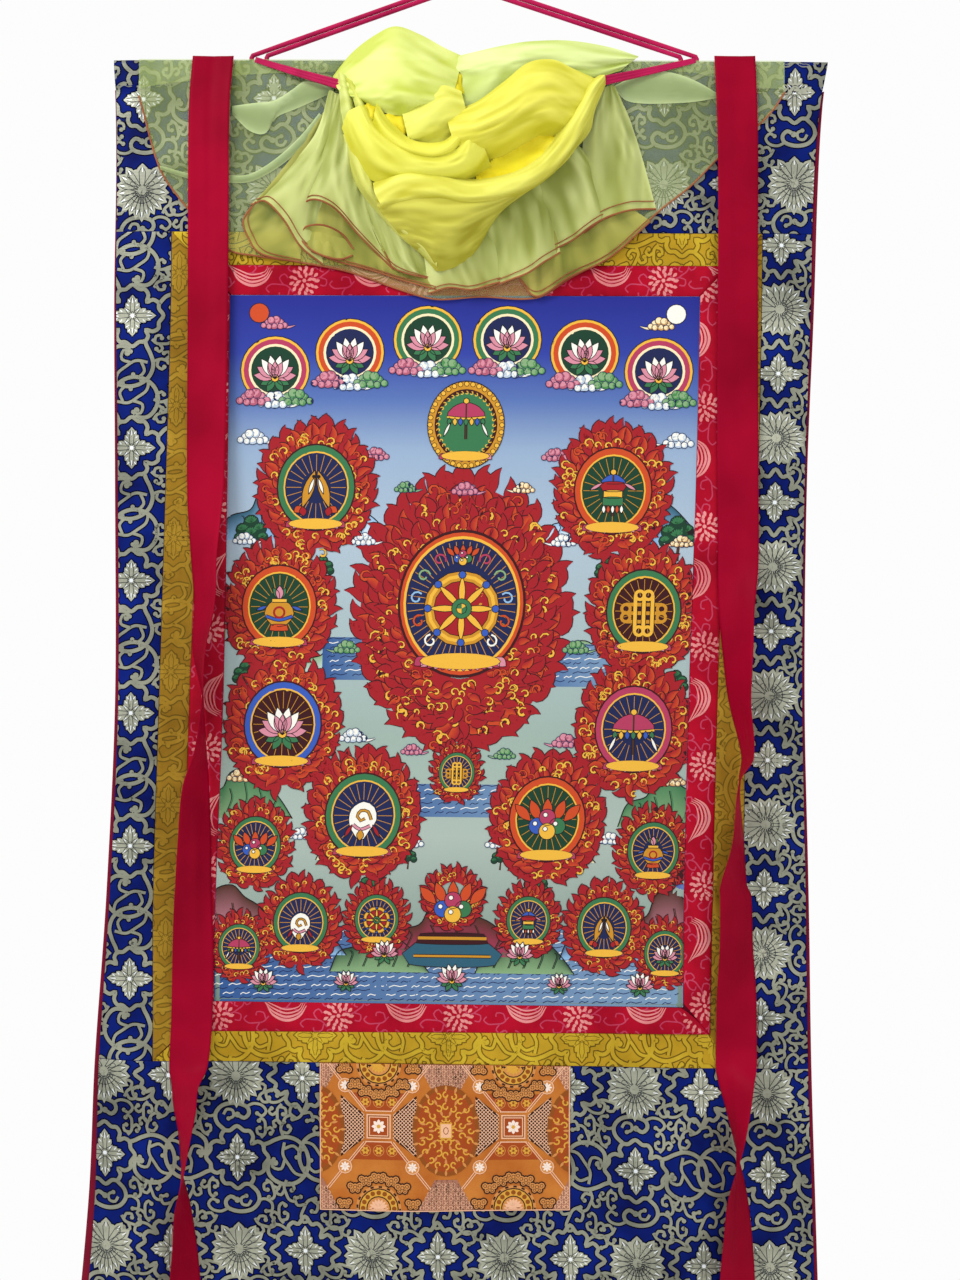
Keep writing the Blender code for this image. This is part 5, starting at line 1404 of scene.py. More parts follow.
    # the flaming rounds about it
    layout = (("fishes", 108, 240, 60, "green", "deep"), ("vase", 66, 386, 58, "orange", "darkGreen"),
              ("lotus", 74, 530, 60, "blue", "darkRed"), ("conch", 176, 640, 59, "green", "deep"),
              ("banner", 468, 242, 60, "orange", "darkGreen"), ("knot", 510, 388, 58, "green", "darkRed"),
              ("parasol", 502, 532, 60, "rose", "deep"), ("jewel", 400, 642, 59, "orange", "darkGreen"))
    for k, (name, x, y, size, halo, inner) in enumerate(layout):
        drawRound(paint, name, x, y, size, 14, 31 + k, halo, inner)
    for k, (name, x, y, size) in enumerate((("jewel", 46, 676, 40), ("vase", 530, 678, 40), ("conch", 104, 770, 42),
                                            ("fishes", 472, 772, 42), ("knot", 288, 584, 28), ("wheel", 196, 764, 34),
                                            ("banner", 380, 764, 34), ("parasol", 30, 800, 32), ("lotus", 546, 802, 32))):
        drawRound(paint, name, x, y, size, 13, 51 + k)
    # the offering at the foot: jewels on a plinth among flowers
    plinth = (("blob", "teal", (-1.0, -0.5), (-0.86, 0.0), (0.86, 0.0), (1.0, -0.5)),
              ("blob", "darkRed", (-0.84, 0.0), (-0.74, 0.22), (0.74, 0.22), (0.84, 0.0)),
              ("line", "gold", 0.07, (-0.8, 0.12), (0.8, 0.12)), ("line", "gold", 0.05, (-0.9, -0.3), (0.9, -0.3)))
    for k, shape in enumerate(plinth):
        drawShape(paint, shape, 288, 790, 52, 20 + k)
    drawFlames(paint, 288, 736, 32, 34, 26, 14, 16, 91)
    drawEmblem(paint, "jewel", 288, 742, 30, 25)
    for x, y, size in ((206, 800, 17), (370, 800, 17), (60, 836, 17), (516, 836, 17), (160, 836, 15), (418, 836, 15),
                       (288, 830, 19)):
        drawEmblem(paint, "lotus", x, y, size, 24)
    for x, y, size, tone, mirror in ((30, 176, 20, "white", 0), (546, 178, 20, "white", 1), (180, 196, 17, "pink", 1),
                                     (396, 196, 17, "pink", 0), (166, 300, 16, "white", 0), (410, 300, 16, "white", 1),
                                     (150, 432, 17, "leafGreen", 1), (428, 430, 17, "leafGreen", 0),
                                     (160, 540, 18, "white", 0), (420, 544, 18, "pink", 1), (24, 590, 17, "cream", 0),
                                     (552, 590, 17, "cream", 1), (236, 668, 16, "white", 1), (340, 668, 16, "white", 0),
                                     (232, 556, 14, "pink", 0), (346, 560, 14, "leafGreen", 1), (100, 660, 15, "white", 0),
                                     (478, 662, 15, "white", 1), (216, 236, 14, "leafGreen", 0), (360, 236, 14, "cream", 1),
                                     (288, 238, 17, "pink", 0), (22, 300, 15, "white", 0), (554, 300, 15, "cream", 1)):
        drawCloud(paint, x, y, size, tone, 12, bool(mirror))
    piece = paint.build("painting_picture", materials["printed"])
    return piece


makePicture()
print("picture painted")


def makeLining():
    drops = np.linspace(0, 1, int(1590 / cloth["liningCell"]))
    shares = np.linspace(0, 1, int(900 / cloth["liningCell"]))
    shares = np.unique(np.concatenate([[0, 0.003, 0.006, 0.012], shares, [0.988, 0.994, 0.997, 1]]))
    u, v = np.meshgrid(shares, drops)
    panel = dict(seams=("left", "right"), rows=("hem", "low_hem"), width=1.0, height=1.0)
    across, drop = toCloth(panel, u, v)
    inside = np.minimum(across - seamAcross("left_brocade", drop), seamAcross("right_brocade", drop) - across)
    binding = ease(-inside / 2.0)     # past the brocade the lining rolls forward as a narrow binding
    depth = forward(across, drop) + relief(across, drop) - cloth["liningBehind"] * (1 - binding)
    half = cloth["lining"] / 2
    piece = thinSheet("lining_cloth", at(across, drop, depth + half), at(across, drop, depth - half),
                      materials["lining"])
    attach(piece, "root")
    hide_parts("lining")
    return piece


liningPiece = makeLining()

leftRibbon = (
    ("drop", "across", "turn", "forward"),
    (94, -307, 0, 11),
    (150, -311, 4, 11),
    (270, -312, 2, 9),
    (416, -313, 8, 6),
    (611, -315, 20, 5),
    (700, -316, 44, 5),
    (764, -315, 54, 5),
    (819, -321, 66, 5),
    (877, -317, 84, 5),
    (940, -319, 100, 5),
    (983, -325, 122, 5),
    (1050, -327, 136, 5),
    (1117, -329, 146, 5),
    (1185, -330, 164, 5),
    (1262, -332, 178, 5),
    (1322, -335, 196, 5),
    (1343, -338, 222, 5),
    (1370, -338, 230, 5),
    (1404, -338, 246, 5),
    (1451, -340, 262, 5),
    (1490, -340, 284, 5),
    (1538, -338, 298, 5),
    (1587, -338, 312, 5),
    (1650, -338, 330, 6),
    (1722, -337, 345, 7),
)
rightRibbon = (
    ("drop", "across", "turn", "forward"),
    (94, 329, 0, 11),
    (150, 331, -3, 11),
    (210, 332, -6, 9),
    (312, 332, -10, 8),
    (416, 332, -6, 6),
    (600, 332, 8, 5),
    (708, 332, 16, 5),
    (770, 329, 36, 5),
    (817, 330, 48, 5),
    (880, 332, 64, 5),
    (948, 341, 80, 5),
    (977, 331, 96, 5),
    (1050, 330, 112, 5),
    (1104, 325, 136, 5),
    (1117, 328, 144, 5),
    (1184, 329, 150, 5),
    (1246, 330, 170, 5),
    (1315, 330, 184, 5),
    (1340, 328, 214, 5),
    (1368, 329, 236, 5),
    (1416, 330, 264, 5),
    (1477, 329, 302, 5),
    (1526, 330, 318, 5),
    (1587, 330, 334, 6),
    (1722, 331, 350, 7),
)
ribbonMake = dict(width=50.0, thick=0.7, crease=1.8, cells=14, step=3.6)


def makeRibbon(name, table, seed):
    make = ribbonMake
    drops = np.linspace(table[1][0], table[-1][0], int((table[-1][0] - table[1][0]) / make["step"]))
    share, drop = np.meshgrid(np.linspace(-1, 1, make["cells"] + 1), drops)
    turn = np.radians(readSmooth(table, "turn", drop))
    across = readSmooth(table, "across", drop)
    half = make["width"] / 2
    hold = forward(across, drop) + readSmooth(table, "forward", drop) + half * np.abs(np.sin(turn))
    ripple = 0.7 * softNoise(share * 2.2 + 7, drop / 90, seed) + 0.35 * softNoise(share * 5, drop / 240, seed + 1)
    crease = make["crease"] * (1 - np.abs(share)) + ripple * (1 - share ** 4)
    sides = []
    for off in (make["thick"] / 2, -make["thick"] / 2):
        bow = crease - off
        sides.append(at(across + half * share * np.cos(turn) + bow * np.sin(turn), drop,
                        hold + half * share * np.sin(turn) - bow * np.cos(turn)))
    piece = thinSheet(name + "_satin", sides[0], sides[1], materials["satin"])
    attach(piece, "root")
    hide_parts(name)
    return piece


makeRibbon("ribbon_left", leftRibbon, 11)
makeRibbon("ribbon_right", rightRibbon, 23)
print("ribbons hung")

cordMake = dict(left=(-267.0, 9.0), right=(290.0, 9.0), apexForward=3.3, turn=6.0, endGap=0.5, thick=6.0,
                apart=6.3, apexRound=9.0, shares=(0.0, 0.12, 0.25, 0.4, 0.55, 0.7, 0.85, 1.0))


def cordRoute(offset):
    # one strand of the hanging cord, from its left end up over the apex and down to its right end
    make = cordMake
    halves = []
    for across, depth in (make["left"], make["right"]):
        side = math.copysign(1, across)
        top = float(rowDrop("top", across))
        length = math.hypot(across, top)
        lineX, lineZ = across / length, top / length
        reach = (top - make["turn"] + abs(lineX) * offset) / lineZ
        half = []
        for share in make["shares"]:
            along = max(reach * share, make["apexRound"])
            half.append((lineX * along + side * lineZ * offset, lineZ * along - abs(lineX) * offset,
                         make["apexForward"] + (depth - make["apexForward"]) * share))
        end = half[-1][0] + side * 1.5
        half += [(end, top - make["turn"] / 2, depth), (end, top - make["endGap"], depth)]
        halves.append(half)
    apex = (0.0, make["apexRound"] * 0.16 - offset, make["apexForward"])
    return halves[0][::-1] + [apex] + halves[1]


def makeCord(name, offset):
    curve = bpy.data.curves.new(name + "_strand", "CURVE")
    curve.dimensions = "3D"
    curve.bevel_depth = cordMake["thick"] / 2 * mm
    curve.bevel_resolution = 5
    curve.use_fill_caps = True
    curve.materials.append(materials["cord"])
    points = [at(*place) for place in cordRoute(offset)]
    spline = curve.splines.new("POLY")
    spline.points.add(len(points) - 1)
    for point, place in zip(spline.points, points):
        point.co = (*place, 1.0)
    piece = bpy.data.objects.new(name + "_strand", curve)
    bpy.context.scene.collection.objects.link(piece)
    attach(piece, "root")
    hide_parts(name)


makeCord("hanging_cord_upper", cordMake["apart"] / 2)
makeCord("hanging_cord_lower", -cordMake["apart"] / 2)
print("cord strung")

bibEdge = (
    ("across", "drop"),
    (-398, 142),
    (-393, 160),
    (-384, 195),
    (-372, 232),
    (-352, 263),
    (-320, 300),
    (-287, 331),
    (-262, 337),
    (-200, 346),
    (-140, 358),
    (-80, 379),
    (-36, 391),
    (18, 388),
    (88, 389),
    (128, 365),
    (165, 345),
    (203, 315),
    (236, 284),
    (276, 252),
    (311, 217),
    (357, 179),
    (378, 157),
    (390, 138),
)
casingEdge = (
    ("across", "drop"),
    (-398, 134),
    (-365, 128),
    (-330, 124),
    (-283, 118),
    (-208, 114),
    (0, 112),
    (265, 113),
    (305, 120),
    (355, 132),
    (390, 134),
)
veilMake = dict(ahead=3.8, hemReach=45.0, hemOver=3.9, cell=5.0, hemRound=1.15, backCell=2.5, backBehind=2.0)
# The gathered folds, each as rails from its far edge to its near one: (across, drop, forward)
veilFolds = {
    "hump": (
        ((-161, 119, 22), (-138, 92, 26), (-110, 71, 28), (-84, 60, 28),
         (-54, 70, 27), (-26, 85, 25), (-3, 95, 23)),
        ((-158, 131, 34), (-132, 116, 46), (-104, 99, 52), (-81, 93, 55),
         (-54, 104, 52), (-28, 115, 44), (-8, 122, 34)),
        ((-151, 143, 44), (-122, 137, 58), (-99, 130, 66), (-78, 128, 68),
         (-58, 132, 66), (-35, 137, 58), (-12, 141, 46)),
        ((-137, 151, 50), (-113, 157, 62), (-94, 156, 70), (-78, 155, 73),
         (-62, 157, 72), (-44, 160, 66), (-12, 159, 52)),
        ((-123, 157, 46), (-104, 169, 54), (-90, 174, 58), (-76, 176, 58),
         (-69, 176, 58), (-51, 167, 56), (-21, 167, 48)),
    ),
    "rightLobe": (
        ((-22, 98, 22), (11, 91, 26), (46, 84, 30), (81, 79, 32),
         (127, 78, 30), (174, 84, 24), (212, 94, 18)),
        ((-12, 112, 30), (16, 107, 38), (48, 101, 42), (80, 97, 44),
         (127, 96, 40), (169, 99, 30), (209, 97, 19)),
        ((-3, 124, 32), (25, 124, 40), (50, 118, 44), (80, 113, 44),
         (127, 111, 40), (162, 110, 28), (202, 102, 19)),
        ((-8, 160, 34), (14, 160, 38), (48, 142, 42), (80, 122, 44),
         (127, 120, 40), (160, 122, 30), (190, 112, 20)),
    ),
    "rightSwag": (
        ((-21, 165, 40), (11, 158, 48), (46, 134, 52), (76, 110, 50),
         (106, 105, 46), (131, 115, 42), (157, 125, 36)),
        ((-21, 182, 62), (11, 175, 70), (45, 158, 76), (75, 137, 76),
         (103, 131, 70), (128, 138, 60), (149, 146, 48)),
        ((-16, 202, 70), (16, 195, 78), (48, 182, 82), (75, 166, 82),
         (100, 158, 76), (123, 162, 66), (145, 165, 50)),
        ((-12, 219, 64), (20, 211, 68), (48, 200, 70), (75, 186, 72),
         (98, 179, 70), (117, 182, 62), (136, 188, 48)),
        ((-8, 237, 40), (20, 232, 36), (48, 222, 34), (71, 209, 38),
         (90, 199, 44), (106, 199, 46), (122, 206, 44)),
    ),
    "lip": (
        ((-111, 255, 50), (-74, 240, 56), (-35, 243, 56), (6, 251, 54), (48, 244, 50),
         (80, 230, 50), (103, 207, 50), (126, 169, 46), (148, 133, 40), (164, 121, 36)),
        ((-108, 270, 66), (-74, 254, 74), (-35, 254, 76), (7, 265, 78), (52, 257, 78),
         (86, 241, 76), (112, 214, 72), (135, 178, 64), (154, 143, 54), (169, 123, 42)),
        ((-101, 284, 66), (-71, 274, 76), (-35, 273, 80), (7, 280, 82), (52, 273, 80),
         (91, 254, 76), (121, 225, 70), (144, 186, 62), (160, 150, 52), (170, 126, 40)),
        ((-100, 291, 54), (-72, 285, 60), (-35, 286, 64), (6, 288, 64), (52, 278, 62),
         (92, 257, 58), (122, 228, 54), (145, 193, 48), (160, 159, 42), (171, 132, 36)),
    ),
    "belly": (
        ((-106, 270, 60), (-74, 257, 68), (-35, 257, 72), (6, 267, 74), (52, 260, 72),
         (89, 245, 68), (121, 221, 62), (149, 180, 52), (166, 133, 40)),
        ((-104, 287, 60), (-74, 284, 70), (-35, 286, 76), (7, 286, 78), (43, 278, 74),
         (75, 263, 68), (105, 243, 58), (131, 218, 48), (157, 168, 40)),
        ((-90, 304, 52), (-65, 306, 62), (-37, 312, 70), (-7, 312, 70), (25, 297, 64),
         (50, 282, 58), (76, 265, 48), (108, 239, 40), (145, 199, 34)),
        ((-72, 323, 42), (-54, 327, 50), (-35, 335, 56), (-12, 334, 54), (9, 320, 50),
         (25, 308, 46), (41, 291, 42), (57, 276, 36), (78, 260, 32)),
        ((-52, 338, 30), (-42, 349, 32), (-33, 359, 34), (-12, 354, 34), (6, 342, 34),
         (16, 331, 34), (23, 319, 32), (32, 300, 30), (48, 276, 28)),
    ),
    "swirlOuter": (
        ((-120, 163, 60), (-107, 187, 64), (-92, 199, 68), (-74, 211, 70),
         (-51, 223, 72), (-26, 225, 72), (-7, 215, 68), (0, 191, 62)),
        ((-129, 166, 62), (-115, 195, 70), (-99, 214, 74), (-78, 229, 77),
         (-51, 237, 78), (-21, 237, 78), (2, 223, 74), (11, 197, 68)),
        ((-141, 171, 54), (-127, 205, 62), (-108, 231, 66), (-83, 245, 68),
         (-51, 251, 68), (-16, 250, 68), (9, 240, 64), (25, 218, 58)),
        ((-149, 187, 42), (-134, 224, 46), (-114, 251, 50), (-83, 258, 52),
         (-51, 258, 52), (-12, 256, 52), (11, 250, 48), (32, 234, 46)),
    ),
    "swirlInner": (
        ((-106, 158, 60), (-95, 177, 62), (-81, 191, 60), (-65, 204, 60),
         (-46, 209, 62), (-26, 207, 62), (-14, 198, 60)),
        ((-108, 175, 70), (-96, 194, 74), (-80, 208, 76), (-62, 219, 78),
         (-39, 224, 78), (-19, 217, 76), (-5, 202, 70)),
        ((-111, 186, 62), (-99, 206, 66), (-81, 220, 68), (-60, 228, 70),
         (-37, 231, 70), (-14, 224, 66), (2, 204, 60)),
    ),
    "swirlCap": (
        ((-76, 170, 58), (-64, 158, 58), (-46, 148, 56), (-26, 138, 54), (-4, 144, 48)),
        ((-72, 188, 62), (-58, 178, 66), (-42, 168, 68), (-21, 160, 64), (0, 162, 54)),
        ((-68, 204, 58), (-51, 199, 64), (-35, 193, 66), (-16, 183, 62), (4, 181, 54)),
        ((-64, 216, 50), (-47, 214, 54), (-30, 212, 56), (-12, 203, 54), (0, 197, 48)),
    ),
    "leftPleatOuter": (
        ((-154, 121, 40), (-151, 121, 46), (-146, 123, 46), (-142, 126, 42)),
        ((-152, 148, 36), (-146, 149, 50), (-140, 152, 52), (-135, 155, 44)),
        ((-149, 185, 34), (-140, 188, 50), (-132, 191, 52), (-127, 194, 44)),
        ((-140, 221, 32), (-130, 227, 46), (-122, 229, 48), (-116, 233, 42)),
        ((-126, 258, 30), (-116, 263, 42), (-108, 266, 44), (-102, 267, 40)),
    ),
    "leftPleatInner": (
        ((-146, 127, 44), (-141, 129, 52), (-134, 134, 52), (-129, 137, 46)),
        ((-134, 157, 46), (-128, 160, 56), (-122, 164, 56), (-118, 167, 48)),
        ((-128, 187, 44), (-120, 192, 56), (-114, 197, 56), (-110, 199, 48)),
        ((-116, 219, 44), (-109, 224, 54), (-102, 229, 56), (-96, 232, 48)),
        ((-105, 247, 44), (-97, 251, 52), (-90, 254, 54), (-84, 255, 48)),
    ),
    "leftSwag": (
        ((-152, 193, 30), (-142, 231, 32), (-128, 261, 34), (-105, 290, 36),
         (-82, 315, 36), (-54, 338, 34), (-35, 359, 32)),
        ((-142, 196, 44), (-132, 234, 48), (-120, 263, 52), (-101, 285, 54),
         (-78, 309, 52), (-53, 331, 46), (-34, 353, 40)),
        ((-128, 206, 46), (-118, 244, 50), (-111, 265, 52), (-97, 280, 54),
         (-74, 304, 52), (-51, 326, 46), (-33, 346, 40)),
        ((-119, 208, 36), (-109, 242, 40), (-102, 261, 44), (-91, 273, 46),
         (-70, 296, 44), (-47, 316, 40), (-31, 338, 34)),
    ),
}
# The pleats that fall below the bunch, each as rails from its root to its hem
veilPleats = {
    "leftOuter": (
        ((-165, 138, 30), (-161, 139, 30), (-157, 142, 30), (-154, 144, 30), (-150, 148, 30)),
        ((-182, 190, 24), (-174, 196, 32), (-168, 204, 34), (-163, 211, 32), (-159, 221, 26)),
        ((-220, 233, 18), (-206, 240, 30), (-194, 253, 34), (-185, 270, 28), (-177, 288, 20)),
        ((-261, 276, 14), (-243, 273, 30), (-220, 296, 32), (-201, 326, 24), (-173, 349, 16)),
    ),
    "leftUnder": (
        ((-170, 160, 24), (-167, 172, 24), (-165, 184, 24), (-162, 196, 24), (-160, 209, 24)),
        ((-214, 221, 16), (-216, 251, 17), (-214, 276, 18), (-206, 300, 17), (-196, 318, 16)),
        ((-260, 278, 12), (-270, 296, 12), (-264, 316, 13), (-248, 336, 13), (-201, 346, 12)),
    ),
    "leftTube": (
        ((-155, 143, 34), (-150, 145, 34), (-145, 149, 34), (-140, 155, 34), (-135, 162, 34)),
        ((-174, 190, 26), (-160, 196, 38), (-148, 206, 40), (-135, 221, 36), (-123, 239, 28)),
        ((-194, 243, 20), (-174, 239, 36), (-155, 253, 40), (-135, 276, 34), (-113, 304, 24)),
        ((-206, 284, 16), (-187, 272, 34), (-159, 282, 38), (-128, 315, 30), (-87, 355, 20)),
    ),
    "leftCurl": (
        ((-200, 312, 24), (-192, 303, 26), (-172, 302, 27), (-150, 312, 26), (-136, 330, 24)),
        ((-199, 316, 22), (-188, 313, 21), (-171, 315, 20), (-152, 324, 21), (-137, 334, 22)),
        ((-199, 320, 24), (-188, 331, 26), (-172, 339, 27), (-152, 343, 26), (-137, 338, 24)),
    ),
    "leftMiddle": (
        ((-146, 184, 30), (-134, 209, 30), (-122, 233, 30), (-104, 257, 30), (-79, 282, 30)),
        ((-138, 245, 28), (-118, 264, 34), (-98, 288, 36), (-73, 312, 34), (-49, 331, 30)),
        ((-113, 304, 22), (-99, 318, 30), (-82, 336, 32), (-61, 350, 30), (-40, 357, 24)),
        ((-96, 338, 18), (-87, 353, 26), (-72, 360, 28), (-54, 364, 26), (-33, 368, 20)),
    ),
    "leftLower": (
        ((-165, 233, 20), (-146, 257, 20), (-122, 282, 20), (-92, 300, 20), (-55, 318, 20)),
        ((-179, 288, 15), (-152, 312, 16), (-118, 331, 16), (-84, 340, 16), (-43, 345, 15)),
        ((-187, 333, 13), (-152, 346, 14), (-116, 355, 14), (-79, 367, 14), (-30, 381, 13)),
    ),
    "middle": (
        ((-55, 318, 30), (-30, 312, 30), (-6, 312, 30), (18, 300, 30), (43, 288, 30)),
        ((-49, 345, 26), (-30, 340, 34), (-9, 340, 34), (16, 333, 34), (49, 318, 28)),
        ((-44, 384, 20), (-20, 378, 30), (8, 381, 32), (32, 374, 30), (60, 366, 22)),
    ),
    "rightMiddle": (
        ((16, 300, 32), (37, 282, 32), (55, 266, 32), (73, 251, 32), (92, 239, 32)),
        ((23, 331, 24), (45, 318, 36), (67, 300, 38), (87, 284, 34), (104, 270, 26)),
        ((26, 378, 18), (52, 370, 32), (76, 361, 34), (96, 347, 30), (116, 334, 20)),
    ),
    "rightInner": (
        ((79, 251, 32), (98, 233, 32), (113, 218, 32), (123, 206, 32), (131, 196, 32)),
        ((98, 288, 24), (116, 276, 36), (134, 264, 38), (148, 248, 34), (159, 233, 26)),
        ((111, 329, 18), (131, 320, 30), (150, 306, 32), (165, 296, 28), (182, 288, 20)),
    ),
    "rightOuter": (
        ((165, 138, 30), (170, 135, 30), (174, 133, 30), (178, 132, 30), (182, 133, 30)),
        ((146, 184, 22), (161, 178, 32), (176, 174, 34), (189, 172, 30), (201, 172, 22)),
        ((143, 239, 18), (162, 231, 30), (183, 224, 32), (201, 221, 28), (217, 221, 18)),
        ((145, 311, 16), (165, 296, 26), (187, 287, 28), (209, 282, 24), (233, 281, 12)),
    ),
    "rightLower": (
        ((43, 306, 20), (79, 288, 20), (116, 270, 20), (152, 251, 20), (189, 239, 20)),
        ((49, 340, 14), (85, 331, 15), (122, 316, 16), (159, 300, 15), (201, 276, 14)),
        ((67, 367, 12), (88, 388, 13), (128, 364, 14), (177, 340, 13), (226, 296, 12)),
    ),
}
# Doubled cloth in the flat wings: an upper and a lower edge, fanning out from where the veil is tied
veilDoubles = {
    "leftBand": (
        ((-372, 228), (-330, 239), (-287, 240), (-270, 240), (-253, 234), (-226, 215), (-201, 191), (-178, 163)),
        ((-371, 233), (-330, 246), (-287, 249), (-268, 249), (-248, 242), (-220, 224), (-193, 199), (-172, 170)),
    ),
    "leftLobe": (
        ((-284, 155), (-256, 151), (-233, 148), (-211, 135), (-196, 125), (-176, 128), (-160, 135)),
        ((-284, 165), (-263, 185), (-244, 188), (-231, 169), (-206, 158), (-183, 148), (-160, 138)),
    ),
    "rightLobe": (
        ((183, 130), (211, 117), (235, 112), (260, 116), (285, 126), (310, 141)),
        ((183, 135), (196, 148), (216, 152), (245, 152), (278, 150), (310, 145)),
    ),
}


def curveThrough(values, count):
    # a smooth curve through rows of numbers, read at this many even steps
    values = np.asarray(values, float)
    last = len(values) - 1
    padded = np.concatenate([[2 * values[0] - values[1]], values, [2 * values[-1] - values[-2]]])
    where = np.linspace(0, last, count)
    k = np.minimum(where.astype(int), last - 1)
    t = (where - k).reshape((-1,) + (1,) * (values.ndim - 1))
    a, b, c, d = padded[k], padded[k + 1], padded[k + 2], padded[k + 3]
    return 0.5 * (2 * b + (c - a) * t + (2 * a - 5 * b + 4 * c - d) * t ** 2 + (3 * b - a - 3 * c + d) * t ** 3)


def veilClear(across, drop):
    # where the flat of the veil lies, in front of the mount and its rolled hem
    start, end = rowDrop("top", across), rowDrop("hem", across)
    over = np.where(drop < start, 1.0, 1 - ease((drop - end) / veilMake["hemReach"]))
    return forward(across, np.minimum(drop, 1000.0)) + relief(across, drop) + veilMake["ahead"] \
        + veilMake["hemOver"] * over


def openSheet(name, grids, material, dyes=None):
    # one open mesh from several grids of points
    points, faces = [], []
    for grid in grids:
        faces += gridFaces(grid.shape[0], grid.shape[1], sum(len(p) for p in points))
        points.append(grid.reshape(-1, 3))
    piece = meshPiece(name, np.vstack(points), faces, material)
    return piece if dyes is None else dyed(piece, np.vstack([dye.reshape(-1, 4) for dye in dyes]))


def dyed(piece, dyes):
    # a colour for each point, written at the corners of its faces
    layer = piece.data.color_attributes.new("dye", "FLOAT_COLOR", "CORNER")
    corners = np.empty(len(piece.data.loops), np.int64)
    piece.data.loops.foreach_get("vertex_index", corners)
    layer.data.foreach_set("color", np.asarray(dyes)[corners].ravel())
    return piece


def between(low, high, share):
    share = np.clip(share, 0, 1)[..., None]
    return np.array(hexColour(low)) * (1 - share) + np.array(hexColour(high)) * share


def loft(railSet, wide, down, ripple, seed, pitch=9.0, lengthwise=False):
    # a fold of cloth through its rails, with fine creases that run along the rails, or from root to hem
    rails = np.array([curveThrough(rail, wide) for rail in railSet])
    grid = curveThrough(rails, down)
    span = np.linalg.norm(np.diff(grid, axis=1), axis=2).sum(1).mean()
    depth = np.linalg.norm(np.diff(grid, axis=0), axis=2).sum(0).mean()
    u, v = np.meshgrid(np.linspace(0, 1, wide), np.linspace(0, 1, down))
    along, across = (u * span, v * depth) if not lengthwise else (v * depth, u * span)
    wave = softNoise(along / (pitch * 4.5) + 3, across / pitch, seed)
    wave = wave + 0.5 * softNoise(along / (pitch * 2) + 9, across / (pitch * 0.55), seed + 1)
    grid[..., 2] += ripple * wave * np.sin(np.pi * np.clip(v, 0.02, 0.98)) ** 0.4
    return grid, wave


def bunchBacking(folds):
    # the cloth between and behind the folds: a smooth skin hung from their edges, as a grid and its kept cells
    cell, left, top = veilMake["backCell"], -180.0, 50.0
    wide, down = int(400 / cell), int(330 / cell)
    height = np.full((down, wide), -1.0)
    for grid in folds:
        fine = curveThrough(np.swapaxes(curveThrough(grid, 190), 0, 1), 260)
        i = np.clip(((fine[..., 0] - left) / cell).astype(int), 0, wide - 1)
        j = np.clip(((fine[..., 1] - top) / cell).astype(int), 0, down - 1)
        np.maximum.at(height, (j, i), fine[..., 2])
    known = height > 0
    outside = np.zeros_like(known)
    outside[0] = outside[-1] = True
    outside[:, 0] = outside[:, -1] = True
    for _ in range(wide + down):
        grown = outside.copy()
        grown[1:] |= outside[:-1]
        grown[:-1] |= outside[1:]
        grown[:, 1:] |= outside[:, :-1]
        grown[:, :-1] |= outside[:, 1:]
        outside = grown & ~known
    near, gap = outside.copy(), ~known & ~outside
    for k in range(3):
        near = near | np.roll(near, 1, 0) | np.roll(near, -1, 0) | np.roll(near, 1, 1) | np.roll(near, -1, 1)
    rim = gap.astype(float)
    for k in range(4):
        rim = np.maximum.reduce([rim, np.roll(rim, 1, 0) - 0.2, np.roll(rim, -1, 0) - 0.2, np.roll(rim, 1, 1) - 0.2,
                                 np.roll(rim, -1, 1) - 0.2])
    skin = np.where(known, height, height[known].mean() * 0.8)
    for step in range(260):
        mean = (np.roll(skin, 1, 0) + np.roll(skin, -1, 0) + np.roll(skin, 1, 1) + np.roll(skin, -1, 1)) / 4
        skin = np.where(known & (step < 250), skin, mean)
    across, drop = np.meshgrid(left + cell * (np.arange(wide) + 0.5), top + cell * (np.arange(down) + 0.5))
    crease = softNoise(across / 26 + drop / 40, drop / 11 - across / 60, 97)
    skin = skin - veilMake["backBehind"] - 9 * (1 - rim) + 1.2 * crease
    kept = ~near & (rim > 0.25)
    cells = kept[:-1, :-1] & kept[1:, :-1] & kept[:-1, 1:] & kept[1:, 1:]
    faces = np.array(gridFaces(down, wide))[cells.ravel()]
    used, index = np.unique(faces, return_inverse=True)
    points = at(across, drop, skin).reshape(-1, 3)[used]
    # deep yellow as painted shade in the scoops, lighter where the creases stand forward as painted highlight
    dyes = between("#d0bc14", "#eee030", 0.5 + 0.5 * crease).reshape(-1, 4)[used]
    return points, index.reshape(-1, 4).tolist(), dyes


def tubePoints(path, radius, sides=6):
    path = np.asarray(path, float)
    along = np.gradient(path, axis=0)
    along /= np.linalg.norm(along, axis=1, keepdims=True) + 1e-9
    side = np.cross(along, (0.0, 1.0, 0.0))
    side /= np.linalg.norm(side, axis=1, keepdims=True) + 1e-9
    up = np.cross(side, along)
    turn = np.linspace(0, 2 * np.pi, sides + 1)[None, :, None]
    return path[:, None, :] + radius * (np.cos(turn) * side[:, None, :] + np.sin(turn) * up[:, None, :])


# Colours of the folds, from the painted shade in a crease's trough to the painted highlight on its ridge, one pair for
# each fold
veilTonesAndShade = {
    "hump": ("#bcc848", "#dce680"), "rightLobe": ("#b8c860", "#d8e694"), "rightSwag": ("#ccc634", "#e8e25c"),
    "lip": ("#c4be38", "#e4e264"), "belly": ("#a8a22c", "#ccc850"), "swirlOuter": ("#c8c434", "#e6e45e"),
    "swirlInner": ("#ccc832", "#e8e456"), "swirlCap": ("#ccca44", "#e6e66c"), "leftSwag": ("#b0b040", "#d4d66e"),
    "leftPleatOuter": ("#bcc454", "#dee68c"), "leftPleatInner": ("#bcc044", "#dce070"),
}


